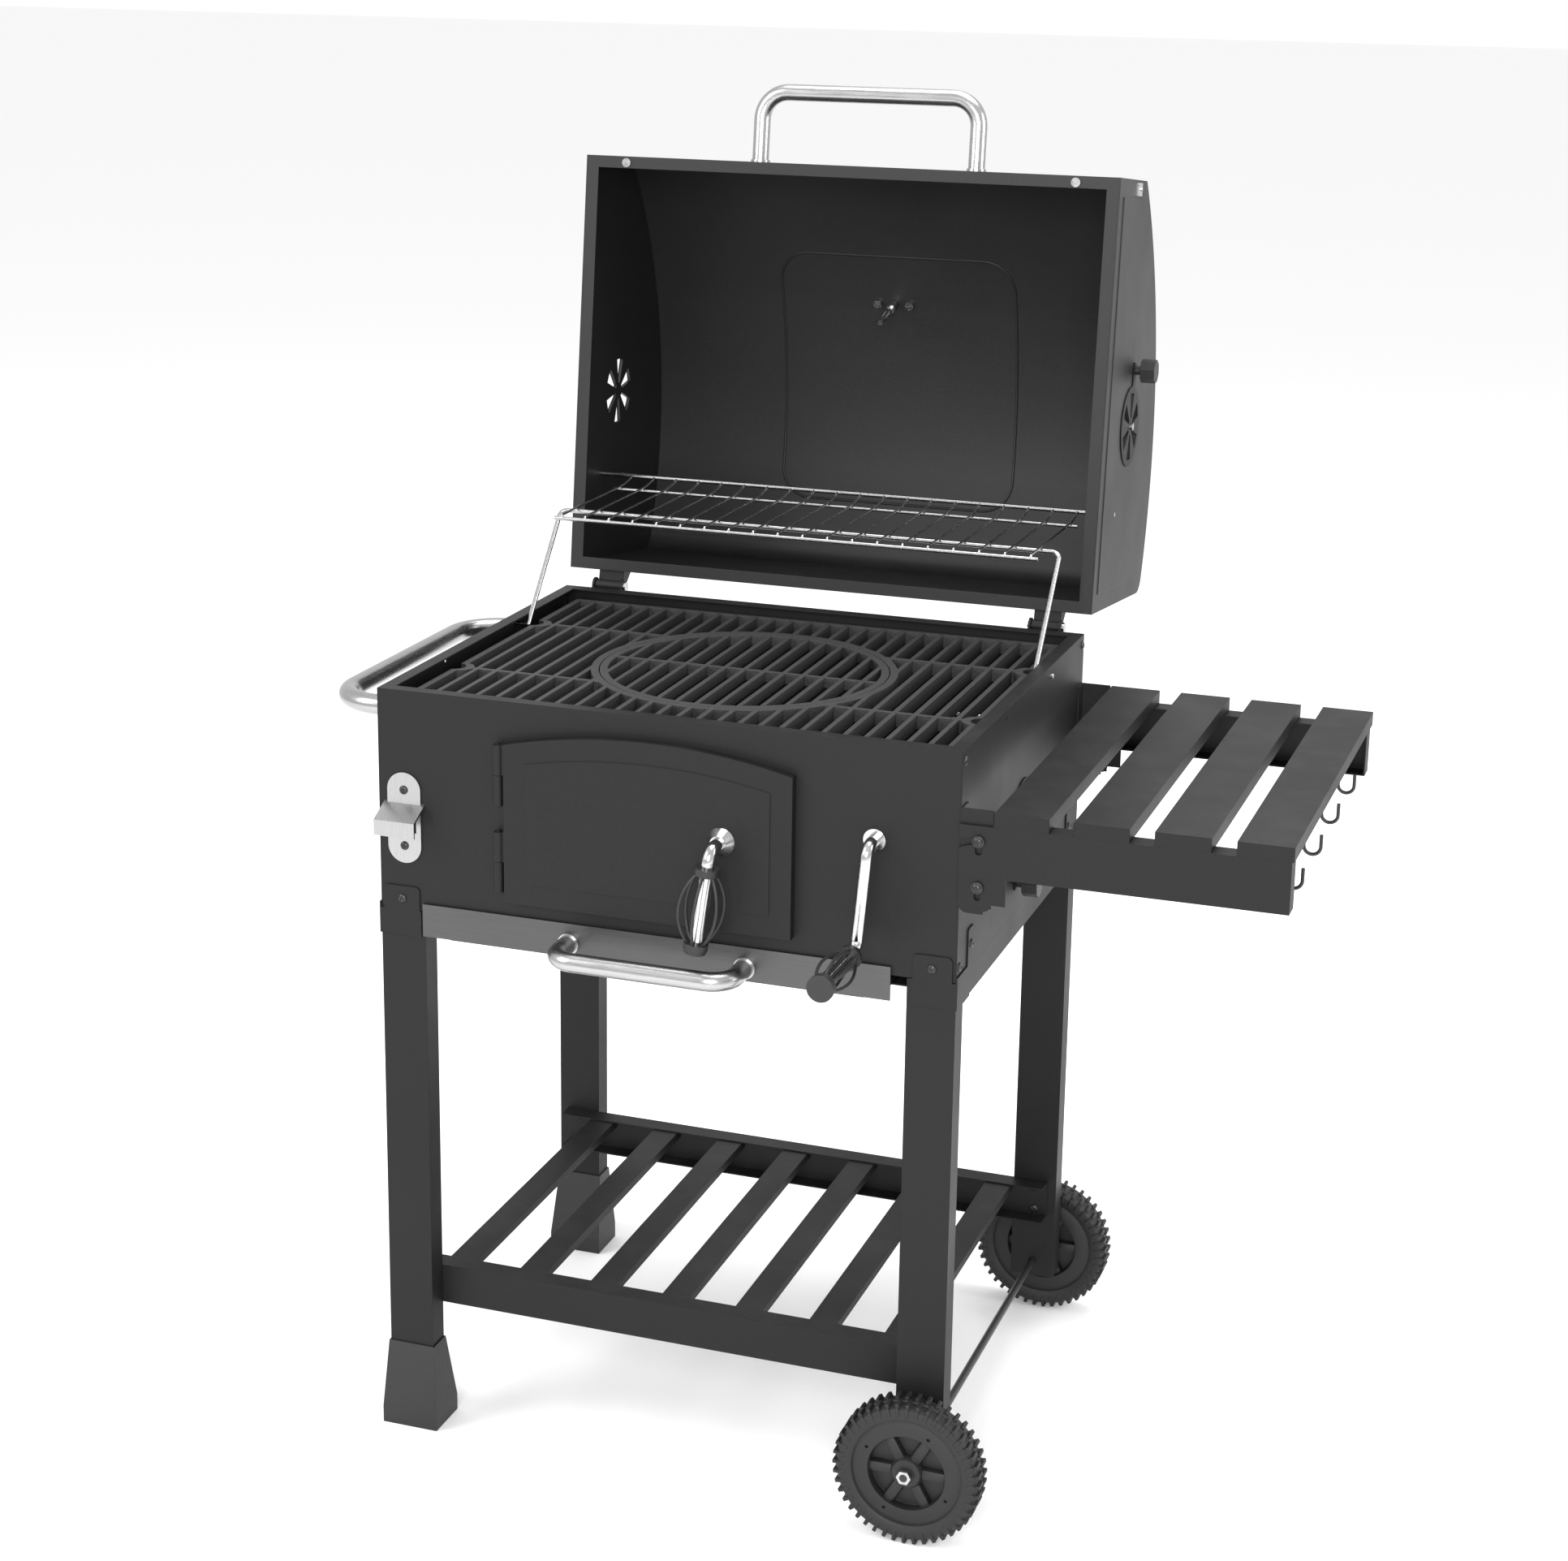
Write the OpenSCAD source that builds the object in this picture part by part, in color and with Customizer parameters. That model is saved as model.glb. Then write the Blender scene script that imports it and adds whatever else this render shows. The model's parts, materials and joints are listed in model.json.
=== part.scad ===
// Charcoal grill trolley: sheet-steel firebox on four legs, barrel lid, folding side shelf,
// ash drawer, height-adjustable coal tray, warming rack and two wheels.
// X runs along the front, the front faces -Y, +Z is up. The firebox is centred on X = Y = 0
// while it is drawn, and place() then moves everything so that the origin is on the ground
// under the middle of the whole trolley.

/* [Firebox] */
// Outside width of the firebox
box_w = 600; // [500:1:720]
// Outside depth of the firebox
box_d = 478; // [400:1:574]
// Height of the firebox panels
box_h = 228; // [210:1:274]
// Height of the firebox rim above the ground
rim_z = 800; // [740:1:960]
// Thickness of the steel sheet
sheet_t = 1.5; // [1.2:0.1:2]
// Width of the folded flange round the rim
rim_flange = 14; // [10:1:16]
// Width of the folded flange round the bottom
base_flange = 12; // [10:1:15]

/* [Door] */
// Left edge of the fire door, from the middle of the firebox
door_left = -160; // [-170:1:-120]
// Width of the fire door
door_w = 298; // [240:1:320]
// Height of the door at its sides
door_h = 162; // [130:1:165]
// Height of the door's bottom edge above the bottom of the firebox
door_lift = 25; // [20:1:30]
// Rise of the arched top edge
door_rise = 18; // [10:1:22]
// Depth of the folded door
door_depth = 10; // [8:1:14]
// How far the door laps over its opening
door_lap = 13; // [8:1:16]
// Radius of the door's hinge knuckles
hinge_knuckle_r = 5; // [4:0.5:6]
// Place of the door latch across the front
latch_x = 67; // [40:1:80]
// Height of the door latch above the door's bottom edge
latch_rise = 91; // [80:1:100]

/* [Lid] */
// Outside width of the lid
lid_w = 606; // [500:1:730]
// Depth of the lid's open mouth
lid_d = 463; // [388:1:562]
// Radius of the barrel roof
roof_r = 466; // [430:1:560]
// Distance of the roof's crown from the hinge edge
crown_s = 140; // [110:1:160]
// Height of the crown above the mouth
crown_h = 264; // [240:1:300]
// Corner radius of the rolled roof
roof_corner_r = 22; // [12:1:30]
// Angle that the lid stands open, from closed
lid_open = 96.5; // [90:0.5:105]
// Distance of the lid's hinge pin behind the firebox
hinge_back = 14.75; // [12:0.25:20]
// Height of the hinge pin above the rim
hinge_up = 0.5; // [0:0.5:6]
// Gap between the closed lid and the rim
lid_gap = 1.9; // [1.5:0.1:4]
// Radius of the lid hinge pins
hinge_pin_r = 3; // [2.5:0.1:4]
// Distance of each lid hinge from the middle
hinge_x = 254; // [200:1:270]
// Length of the lid handle between its leg centres
lid_handle_w = 250; // [180:1:300]
// Stand-off of the lid handle
lid_handle_out = 79; // [60:1:90]
// Diameter of the lid handle tube
lid_handle_dia = 18.5; // [16:0.5:22]

/* [Dampers] */
// Radius of a damper disc
damper_r = 44; // [36:1:48]
// Radius of the ring of damper openings
damper_open_r = 37; // [28:1:40]
// Distance of the lid dampers from the hinge edge
lid_damper_s = 196; // [180:1:230]
// Height of the lid dampers above the mouth
lid_damper_h = 121; // [90:1:130]
// Distance of the firebox damper behind the front panel
box_damper_y = 232; // [200:1:260]
// Height of the firebox damper above the bottom of the firebox
box_damper_h = 92; // [80:1:110]
// Distance from a damper's pivot to its knob
damper_lever = 70; // [60:1:80]

/* [Grates] */
// Width of the cooking grate
grate_w = 558; // [460:1:562]
// Depth of the cooking grate
grate_d = 440; // [360:1:446]
// Thickness of the cast bars
grate_h = 14; // [10:1:18]
// Width of a cast bar
bar_w = 5; // [4:0.5:7]
// Number of gaps across the grate
grate_gaps = 26; // [20:2:30]
// Outside radius of the grate's round opening frame
ring_r = 158; // [120:1:165]
// Width of each ring
ring_w = 8; // [6:0.5:10]
// Gap between the round insert and its frame
insert_gap = 1.2; // [0.8:0.1:3]
// Depth of the grate's top below the rim
grate_drop = 10; // [8:1:20]
// Distance of the cross bars from the middle
cross_bar_y = 100; // [80:1:120]

/* [Coal tray and crank] */
// Width of the coal tray
tray_w = 536; // [430:1:540]
// Depth of the coal tray
tray_d = 400; // [320:1:404]
// Height of the coal tray's wall
tray_h = 40; // [30:1:44]
// Height of the coal tray's floor above the bottom of the firebox
tray_lift = 48; // [46:1:50]
// Distance of the crank from the middle
crank_x = 217; // [200:1:225]
// Height of the crank above the bottom of the firebox
crank_h = 133; // [132:1:140]
// Length of the crank's arm
crank_arm = 104; // [90:1:106]
// Length of the crank's grip
crank_grip = 105; // [90:1:130]
// Radius of the crank shaft
crank_shaft_r = 6; // [5:0.5:6]
// Length of the lifting arms inside
lift_arm = 60; // [50:1:62]
// Free height round the lifting pins in their slots
lift_play = 1.8; // [1.6:0.1:2.5]

/* [Ash drawer] */
// Width of the ash pan between its runners
ash_w = 480; // [400:1:484]
// Sideways place of the ash pan in its slot
ash_x = -7; // [-9:1:0]
// Depth of the pan
ash_h = 12; // [10:1:14]
// Height of the brushed front strip
strip_h = 34; // [28:1:40]
// Distance between the legs of the drawer handle
ash_handle_w = 184; // [140:1:220]
// Stand-off of the drawer handle
ash_handle_out = 50; // [40:1:56]
// Diameter of the drawer handle tube
ash_handle_dia = 19; // [16:0.5:20]

/* [Legs] */
// Width of a leg, seen from the front
leg_w = 48.5; // [40:0.5:56]
// Depth of a leg, seen from the side
leg_d = 25.5; // [22:0.5:30]
// Wall of the leg tube
leg_wall = 1.5; // [1.2:0.1:2.5]
// Height of the plastic feet
foot_h = 92; // [75:1:110]
// Height of the bottom end of the wheeled legs
wheel_leg_z = 58; // [50:1:60]
// Height of the leg bracket's sleeve
sleeve_h = 27; // [22:1:32]

/* [Bottom shelf] */
// Height of the top of the bottom shelf's rails
rail_z = 174; // [160:1:210]
// Height of a bottom shelf rail
rail_h = 42; // [34:1:50]
// Depth of a rail's flanges
rail_flange = 22; // [16:1:26]
// Number of slats
bottom_slats = 7; // [5:1:9]
// Width of a slat
bottom_slat_w = 29; // [22:1:34]
// Thickness of a slat
bottom_slat_t = 9; // [6:1:12]

/* [Wheels] */
// Radius of a wheel
wheel_r = 75; // [66:1:84]
// Width of a wheel
wheel_w = 32; // [26:1:38]
// Radius of the axle
axle_r = 4; // [3.5:0.1:5]
// Radial running clearance of each hub, hinge and pin
run_fit = 0.1; // [0.05:0.01:0.1]
// Gap between a leg and its wheel
wheel_gap = 13; // [8:0.5:15]

/* [Side shelf] */
// Length of the side shelf from its first slat to its last
side_len = 277; // [230:1:330]
// Number of side slats
side_slats = 4; // [3:1:5]
// Width of a side slat
side_slat_w = 52; // [44:1:56]
// Thickness of a side slat
side_slat_t = 14; // [10:1:18]
// Height of a side rail
side_rail_h = 50; // [42:1:56]
// Height of the side shelf's top below the rim
side_drop = 55; // [50:1:70]
// Distance of the pivot screws outside the firebox
side_pivot_x = 18; // [16:0.5:19]
// Distance of the lower pivot screw below the shelf's top
side_pivot_drop = 74; // [72:1:80]
// Distance between the pivot screw and the locking screw
side_screw_gap = 45; // [42:1:48]
// Radius of the pivot screws
side_screw_r = 3; // [2.5:0.1:3.5]
// How far the shelf lifts off its lock
side_lift = 10; // [8:1:11]
// Number of tool hooks
hook_count = 4; // [3:1:5]
// Distance between tool hooks
hook_pitch = 105; // [80:1:110]

/* [Side handle] */
// Diameter of the side handle tube
side_handle_dia = 21; // [18:0.5:25]
// Stand-off of the side handle's centre line
side_handle_out = 86; // [70:1:100]
// Height of the side handle below the rim
side_handle_drop = 38; // [30:1:60]

/* [Warming rack] */
// Diameter of the rack's frame wire
rack_wire = 5; // [4:0.5:5]
// Diameter of the rack's cross wires
cross_wire = 3; // [2.5:0.5:3.5]
// Number of cross wires
rack_count = 20; // [14:1:24]
// Backward reach of a swing leg, open
leg_back = 92; // [86:1:94]
// Upward reach of a swing leg, open
leg_up = 109; // [100:1:111]
// Distance of the swing legs' pivots in front of the firebox's back
rack_pivot_y = 147; // [140:1:152]
// Distance of the swing legs' pivots below the rim
rack_pivot_drop = 10; // [8:1:12]

/* [Hidden] */

black_paint = [0.13, 0.13, 0.13];
black_plastic = [0.09, 0.09, 0.09];
bright_steel = [0.72, 0.72, 0.71];
brushed_steel = [0.55, 0.55, 0.54];
cast_black = [0.16, 0.16, 0.16];

$fn = 48;
wire_fn = 24;

yf = -box_d / 2;
yb = box_d / 2;
xr = box_w / 2;
box_z = rim_z - box_h;
leg_x = xr - leg_w / 2;
cut = 1;

hinge_y = yb + hinge_back;
hinge_z = rim_z + hinge_up;
// Back wall and mouth of the closed lid, measured from the hinge pin
mouth_y = -hinge_back - 2;
mouth_z = lid_gap - hinge_up;
roof_k = crown_h - roof_r;

door_z = box_z + door_lift;
door_cx = door_left + door_w / 2;
door_hinge_x = door_left - 7;
door_hinge_y = yf - 7;
latch_z = door_z + latch_rise;
crank_z = box_z + crank_h;
tray_z = box_z + tray_lift;
strip_y = yf - 3;
strip_z = box_z + 9 - strip_h;
ash_flange_z = box_z - 14;
side_top = rim_z - side_drop;
side_rail_top = side_top - side_slat_t;
pivot_x = xr + side_pivot_x;
pivot_z = side_top - side_pivot_drop;
side_x0 = xr + 32;
grate_z = rim_z - grate_drop - grate_h;
rack_leg_x = xr - rim_flange - rack_wire / 2 - 0.5;
rack_py = yb - rack_pivot_y;
rack_pz = rim_z - rack_pivot_drop;
wheel_y = wheel_gap + wheel_w;

// Half-way points of the whole trolley, which put the origin under its middle
hook_r = 8;
hook_out = 2 * hook_r;
hook_wire = 3.5;
hook_inset = 15;
crank_out = 24;
grip_cap = 4;
left_reach = xr + side_handle_out + side_handle_dia / 2;
right_reach = side_x0 + side_len - hook_inset + hook_out + hook_wire / 2;
front_reach = -yf + crank_out + crank_grip + grip_cap;
dial_s = 312;
dial_angle = asin((dial_s - crown_s) / roof_r);
dial_r = 30;
dial_out = 13;
tilt = lid_open - 90;
// Rearmost point of the open lid: the rim of the thermometer or the roof itself
roof_back = hinge_y + (mouth_z + roof_k) * sin(lid_open) - (-mouth_y + crown_s) * cos(lid_open) + roof_r;
dial_back = hinge_y + (mouth_z + roof_k) * sin(lid_open) - (-mouth_y + crown_s) * cos(lid_open)
    + (roof_r + dial_out) * cos(dial_angle - tilt) + dial_r * sin(dial_angle - tilt);
back_reach = max(roof_back, dial_back);
centre_x = (right_reach - left_reach) / 2;
centre_y = (back_reach - front_reach) / 2;

module place() {
    translate([-centre_x, -centre_y, 0]) children();
}

// Everything on the lid is drawn closed, from its hinge pin, and then opened
module open_lid() {
    place() translate([0, hinge_y, hinge_z]) rotate([-lid_open, 0, 0]) children();
}

// A closed-lid point s in front of the hinge edge and h above the mouth
module lid_at(x, s, h) {
    translate([x, mouth_y - s, mouth_z + h]) children();
}

// A plane shape in Y and Z, drawn along X from x0 to x1
module along_x(x0, x1) {
    translate([x0, 0, 0]) rotate([90, 0, 90]) linear_extrude(x1 - x0) children();
}

// A plane shape in X and Z, drawn along Y from y0 to y1
module along_y(y0, y1) {
    translate([0, y1, 0]) rotate([90, 0, 0]) linear_extrude(y1 - y0) children();
}

// A block from its low corner to its high corner
module block(low, high) {
    translate(low) cube([high[0] - low[0], high[1] - low[1], high[2] - low[2]]);
}

module rod_x(x0, x1, y, z, r) {
    translate([x0, y, z]) rotate([0, 90, 0]) cylinder(r = r, h = x1 - x0);
}

module rod_y(x, y0, y1, z, r) {
    translate([x, y1, z]) rotate([90, 0, 0]) cylinder(r = r, h = y1 - y0);
}

// A round bar between two points
module bar(a, b, r) {
    v = b - a;
    len = norm(v);
    translate(a)
        rotate([0, acos(v[2] / len), atan2(v[1], v[0])])
            cylinder(r = r, h = len);
}

// A U of round bar: legs along +Y from the origin's plane, cross bar along X
module u_bar(w, out, dia, bend) {
    for (s = [-1, 1]) {
        rod_y(s * w / 2, -out + bend, 0, 0, dia / 2);
        translate([s * (w / 2 - bend), -out + bend, 0])
            rotate([0, 0, s > 0 ? -90 : 180])
                rotate_extrude(angle = 90) translate([bend, 0]) circle(r = dia / 2);
    }
    rod_x(-w / 2 + bend, w / 2 - bend, -out, 0, dia / 2);
}

// A pan-head screw whose head stands on a face; it points along +Z
module screw_head(r = 4.5) {
    cylinder(r = r, h = 2.2);
}

// A hexagonal nut with its axis along Z
module hex_nut(across, h) {
    cylinder(r = across / sqrt(3), h = h, $fn = 6);
}

// Six wedge openings of a damper, as a plane shape
module damper_wedges(r_in, r_out) {
    intersection() {
        difference() {
            circle(r = r_out);
            circle(r = r_in);
        }
        for (i = [0:5]) {
            rotate(i * 60)
                polygon([[0, 0], [2 * r_out * cos(14), -2 * r_out * sin(14)],
                    [2 * r_out * cos(14), 2 * r_out * sin(14)]]);
        }
    }
}

// A rectangle with four rounded corners
module round_rect(w, h, r) {
    square([w - 2 * r, h], center = true);
    square([w, h - 2 * r], center = true);
    for (sx = [-1, 1]) {
        for (sy = [-1, 1]) {
            translate([sx * (w / 2 - r), sy * (h / 2 - r)]) circle(r = r);
        }
    }
}

// ---------------------------------------------------------------- firebox

// The door or its opening: a rectangle with an arched top, shrunk by i
module door_shape(i) {
    half = door_w / 2;
    arch_r = (half * half + door_rise * door_rise) / (2 * door_rise);
    intersection() {
        translate([door_left + i, door_z + i]) square([door_w - 2 * i, door_h + door_rise]);
        translate([door_cx, door_z + door_h + door_rise - arch_r]) circle(r = arch_r - i, $fn = 180);
    }
}

module panel_flanges(side) {
    y0 = side < 0 ? yf : yb - rim_flange;
    y1 = side < 0 ? yf : yb - base_flange;
    block([-xr + sheet_t, y0, rim_z - sheet_t], [xr - sheet_t, y0 + rim_flange, rim_z]);
    block([-xr + sheet_t, y1, box_z], [xr - sheet_t, y1 + base_flange, box_z + sheet_t]);
    for (s = [-1, 1]) {
        x0 = s < 0 ? -xr + sheet_t : xr - 2 * sheet_t;
        block([x0, y1, box_z], [x0 + sheet_t, y1 + base_flange, rim_z]);
    }
}

module firebox_front() {
    color(black_paint) place() difference() {
        union() {
            block([-xr + sheet_t, yf, box_z], [xr - sheet_t, yf + sheet_t, rim_z]);
            panel_flanges(-1);
        }
        along_y(yf - cut, yf + sheet_t + cut) door_shape(door_lap);
        rod_y(crank_x, yf - cut, yf + sheet_t + cut, crank_z, crank_shaft_r + 1);
    }
}

module firebox_back() {
    color(black_paint) place() difference() {
        union() {
            block([-xr + sheet_t, yb - sheet_t, box_z], [xr - sheet_t, yb, rim_z]);
            panel_flanges(1);
        }
        rod_y(crank_x, yb - sheet_t - cut, yb + cut, crank_z, crank_shaft_r + run_fit);
    }
}

// One side panel, drawn on the right and mirrored for the left
module side_panel(with_damper) {
    difference() {
        union() {
            block([xr - sheet_t, yf, box_z], [xr, yb, rim_z]);
            block([xr - rim_flange, yf + rim_flange, rim_z - sheet_t], [xr, yb - rim_flange, rim_z]);
            block([xr - base_flange, yf + base_flange, box_z], [xr, yb - base_flange, box_z + sheet_t]);
        }
        for (y = [rack_py, yf + 155]) {
            rod_x(xr - 2 * sheet_t, xr + cut, y, rack_pz, rack_wire / 2 + run_fit);
        }
        if (with_damper) {
            along_x(xr - 2 * sheet_t, xr + cut)
                translate([yf + box_damper_y, box_z + box_damper_h])
                    damper_wedges(9, damper_open_r);
        }
    }
}

module firebox_left() {
    color(black_paint) place() mirror([1, 0, 0]) side_panel(false);
}

module firebox_right() {
    color(black_paint) place() side_panel(true);
}

// ---------------------------------------------------------------- legs and brackets

module leg(x, y, z0) {
    z1 = box_z - 1;
    front = y - leg_d / 2;
    difference() {
        block([x - leg_w / 2, front, z0], [x + leg_w / 2, front + leg_d, z1]);
        block([x - leg_w / 2 + leg_wall, front + leg_wall, z0 - cut],
            [x + leg_w / 2 - leg_wall, front + leg_d - leg_wall, z1 + cut]);
    }
}

module wheeled_leg(side) {
    difference() {
        leg(leg_x, side * (box_d - leg_d) / 2, wheel_leg_z);
        rod_y(leg_x, side * box_d / 2 - 2 * leg_d, side * box_d / 2 + 2 * leg_d, wheel_r, axle_r + run_fit);
    }
}

module leg_front_left() {
    color(black_paint) place() leg(-leg_x, -(box_d - leg_d) / 2, 6);
}

module leg_back_left() {
    color(black_paint) place() leg(-leg_x, (box_d - leg_d) / 2, 6);
}

module leg_front_right() {
    color(black_paint) place() wheeled_leg(-1);
}

module leg_back_right() {
    color(black_paint) place() wheeled_leg(1);
}

// A sleeve round the leg's top, with one tab on the front and one on the side
module leg_bracket() {
    w = leg_w - 4;
    tab_w = 39;
    tab_h = 25;
    z0 = box_z - sleeve_h;
    block([xr - w, yf - sheet_t, z0], [xr + sheet_t, yf, box_z]);
    block([xr, yf - sheet_t, z0], [xr + sheet_t, yf + leg_d + 18, box_z]);
    along_y(yf - sheet_t, yf) translate([xr - tab_w / 2 - 4, box_z + tab_h / 2 - 3]) round_rect(tab_w, tab_h + 6, 5);
    along_x(xr, xr + sheet_t) translate([yf + 44, box_z + 10]) round_rect(20, 66, 4);
    block([xr, yf - sheet_t, box_z - sheet_t], [xr + sheet_t, yf + 50, box_z + 6]);
}

module leg_brackets() {
    color(black_paint) place() {
        for (sx = [0, 1]) {
            for (sy = [0, 1]) {
                mirror([sx, 0, 0]) mirror([0, sy, 0]) leg_bracket();
            }
        }
    }
}

// The folded strips that close each side between its two legs, under the firebox
module side_skirts() {
    y1 = yb - leg_d - 1;
    z0 = box_z - sleeve_h;
    color(black_paint) place() {
        for (sx = [0, 1]) {
            mirror([sx, 0, 0]) {
                block([xr - sheet_t, -y1, z0], [xr, y1, box_z]);
                block([xr - base_flange, -y1, box_z - sheet_t], [xr, y1, box_z]);
            }
        }
    }
}

// Screws with their heads outwards on the right-hand front corner
module corner_screws() {
    for (z = [box_z + 14, rim_z - 11]) {
        translate([xr, yf + 8, z]) rotate([0, 90, 0]) screw_head(4);
    }
    translate([xr + sheet_t, yf + 44, box_z + 26]) rotate([0, 90, 0]) screw_head(4);
    translate([xr - 24, yf - sheet_t, box_z + 12]) rotate([90, 0, 0]) screw_head();
}

module black_screws() {
    color(black_plastic) place() {
        for (sx = [0, 1]) {
            for (sy = [0, 1]) {
                mirror([sx, 0, 0]) mirror([0, sy, 0]) corner_screws();
            }
        }
        for (sx = [-1, 1]) {
            for (dz = [8, rail_h - 8]) {
                translate([sx * leg_x, yb - leg_d - sheet_t, rail_z - dz]) rotate([90, 0, 0]) screw_head(4);
                translate([sx * leg_x, yf + leg_d + sheet_t, rail_z - dz]) rotate([-90, 0, 0]) screw_head(4);
            }
        }
        for (dz = [0, -58]) {
            translate([opener_x, yf - opener_t, opener_z + dz]) rotate([90, 0, 0]) screw_head(4.5);
        }
        for (sy = [-1, 1]) {
            translate([-xr + sheet_t, sy * side_handle_y, side_handle_z]) rotate([0, 90, 0]) hex_nut(13, 6);
        }
    }
}

// A flared foot round the bottom of a plain leg
module foot(back) {
    y_leg = back ? yb - leg_d : yf;
    top = 1.5;
    flare_x = 6.5;
    flare_y = back ? 17 : 9;
    flare_in = back ? 9 : 17;
    base_h = 18;
    difference() {
        hull() {
            block([-xr - top, y_leg - top, foot_h - 1], [-xr + leg_w + top, y_leg + leg_d + top, foot_h]);
            block([-xr - flare_x, y_leg - flare_y, 0], [-xr + leg_w + flare_x, y_leg + leg_d + flare_in, base_h]);
        }
        block([-xr, y_leg, 6], [-xr + leg_w, y_leg + leg_d, foot_h + cut]);
    }
}

module foot_front_left() {
    color(black_plastic) place() foot(false);
}

module foot_back_left() {
    color(black_plastic) place() foot(true);
}

// ---------------------------------------------------------------- bottom shelf

// A C channel between the legs; side is -1 for the front
module shelf_rail(side) {
    face = side < 0 ? yf + leg_d : yb - leg_d - sheet_t;
    inner = side < 0 ? yf + leg_d : yb - leg_d - rail_flange;
    half = xr - 10;
    block([-half, face, rail_z - rail_h], [half, face + sheet_t, rail_z]);
    block([-half, inner, rail_z - sheet_t], [half, inner + rail_flange, rail_z]);
    block([-half, inner, rail_z - rail_h], [half, inner + rail_flange, rail_z - rail_h + sheet_t]);
}

module rail_front() {
    color(black_paint) place() shelf_rail(-1);
}

module rail_back() {
    color(black_paint) place() shelf_rail(1);
}

module bottom_slat_set() {
    y0 = yf + leg_d + rail_flange - 12;
    pitch = (box_w - 2 * leg_w - 26) / (bottom_slats - 1);
    color(black_paint) place() {
        for (i = [0:bottom_slats - 1]) {
            x = (i - (bottom_slats - 1) / 2) * pitch;
            difference() {
                block([x - bottom_slat_w / 2, y0, rail_z - sheet_t - bottom_slat_t],
                    [x + bottom_slat_w / 2, -y0, rail_z - sheet_t]);
                block([x - bottom_slat_w / 2 + sheet_t, y0 - cut, rail_z - 2 * bottom_slat_t],
                    [x + bottom_slat_w / 2 - sheet_t, -y0 + cut, rail_z - 2 * sheet_t]);
            }
        }
    }
}

// ---------------------------------------------------------------- wheels and axle

module axle() {
    color(black_paint) place() rod_y(leg_x, yf - wheel_y - 6, yb + wheel_y + 6, wheel_r, axle_r);
}

module bright_hardware() {
    color(bright_steel) place() {
        for (side = [0, 1]) {
            mirror([0, side, 0]) translate([leg_x, yf - wheel_y - 0.3, wheel_r]) rotate([90, 0, 0])
                difference() {
                    hex_nut(13, 5.5);
                    translate([0, 0, -cut]) cylinder(r = axle_r, h = 8);
                }
        }
        translate([crank_x, yf, crank_z]) rotate([90, 0, 0]) difference() {
            cylinder(r = 11, h = 3);
            translate([0, 0, -cut]) cylinder(r = crank_shaft_r + run_fit, h = 6);
        }
    }
}

// A wheel on the axle: block-tread tyre, ribbed rim with six windows, and a hub
module wheel() {
    hub_r = 15;
    window_in = 18;
    window_out = 38;
    rotate([90, 0, 0]) {
        rotate_extrude($fn = 96)
            polygon([[58, 3], [wheel_r - 3, 0], [wheel_r, 4], [wheel_r, wheel_w - 4], [wheel_r - 3, wheel_w],
                [58, wheel_w - 3]]);
        difference() {
            union() {
                translate([0, 0, wheel_w / 2 - 3]) cylinder(r = 58, h = 6);
                difference() {
                    translate([0, 0, 4]) cylinder(r = 58, h = wheel_w - 8);
                    translate([0, 0, 3]) cylinder(r = 52, h = wheel_w - 6);
                }
                translate([0, 0, wheel_w - 12]) difference() {
                    cylinder(r = 55, h = 9);
                    translate([0, 0, -cut]) cylinder(r = window_out, h = 12);
                }
                cylinder(r = hub_r, h = wheel_w);
            }
            translate([0, 0, wheel_w / 2 - 6]) linear_extrude(12) for (i = [0:5]) {
                rotate(i * 60) translate([(window_in + window_out) / 2, 0])
                    square([window_out - window_in, 16], center = true);
            }
            for (i = [0:3]) {
                rotate(i * 90 + 20) translate([46, 0, -cut]) cylinder(r = 2, h = wheel_w + 2 * cut, $fn = 24);
            }
            translate([0, 0, -cut]) cylinder(r = axle_r + run_fit, h = wheel_w + 2 * cut);
        }
    }
}

module wheel_front() {
    color(black_plastic) place() translate([leg_x, yf - wheel_gap, wheel_r]) wheel();
}

module wheel_back() {
    color(black_plastic) place() mirror([0, 1, 0]) translate([leg_x, yf - wheel_gap, wheel_r]) wheel();
}

// ---------------------------------------------------------------- side handle and opener

side_handle_y = yb - 67;
side_handle_z = rim_z - side_handle_drop;

module side_handle() {
    color(bright_steel) place()
        translate([-xr, 0, side_handle_z]) rotate([0, 0, -90])
            u_bar(2 * side_handle_y, side_handle_out, side_handle_dia, 52);
}

opener_x = -xr + 28;
opener_z = rim_z - 102;
opener_t = 2;
opener_w = 44;

module bottle_opener() {
    nose_out = 26;
    color(bright_steel) place() {
        difference() {
            union() {
                along_y(yf - opener_t, yf) {
                    translate([opener_x, opener_z]) circle(r = opener_w / 2 - 4);
                    translate([opener_x - opener_w / 2 + 4, opener_z - 20]) square([opener_w - 8, 20]);
                    translate([opener_x, opener_z - 58]) circle(r = opener_w / 2 - 4);
                    translate([opener_x - opener_w / 2 + 4, opener_z - 58]) square([opener_w - 8, 14]);
                    for (s = [-1, 1]) {
                        translate([opener_x + s * (opener_w / 2 - 6.5) - 2.5, opener_z - 58]) square([5, 58]);
                    }
                }
                along_x(opener_x - opener_w / 2, opener_x + opener_w / 2)
                    polygon([[yf, opener_z - 13], [yf - nose_out, opener_z - 26],
                        [yf - nose_out, opener_z - 42], [yf - nose_out + opener_t, opener_z - 42],
                        [yf - nose_out + opener_t, opener_z - 28], [yf, opener_z - 15.5]]);
            }
        }
    }
}

// ---------------------------------------------------------------- side shelf brackets

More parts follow.
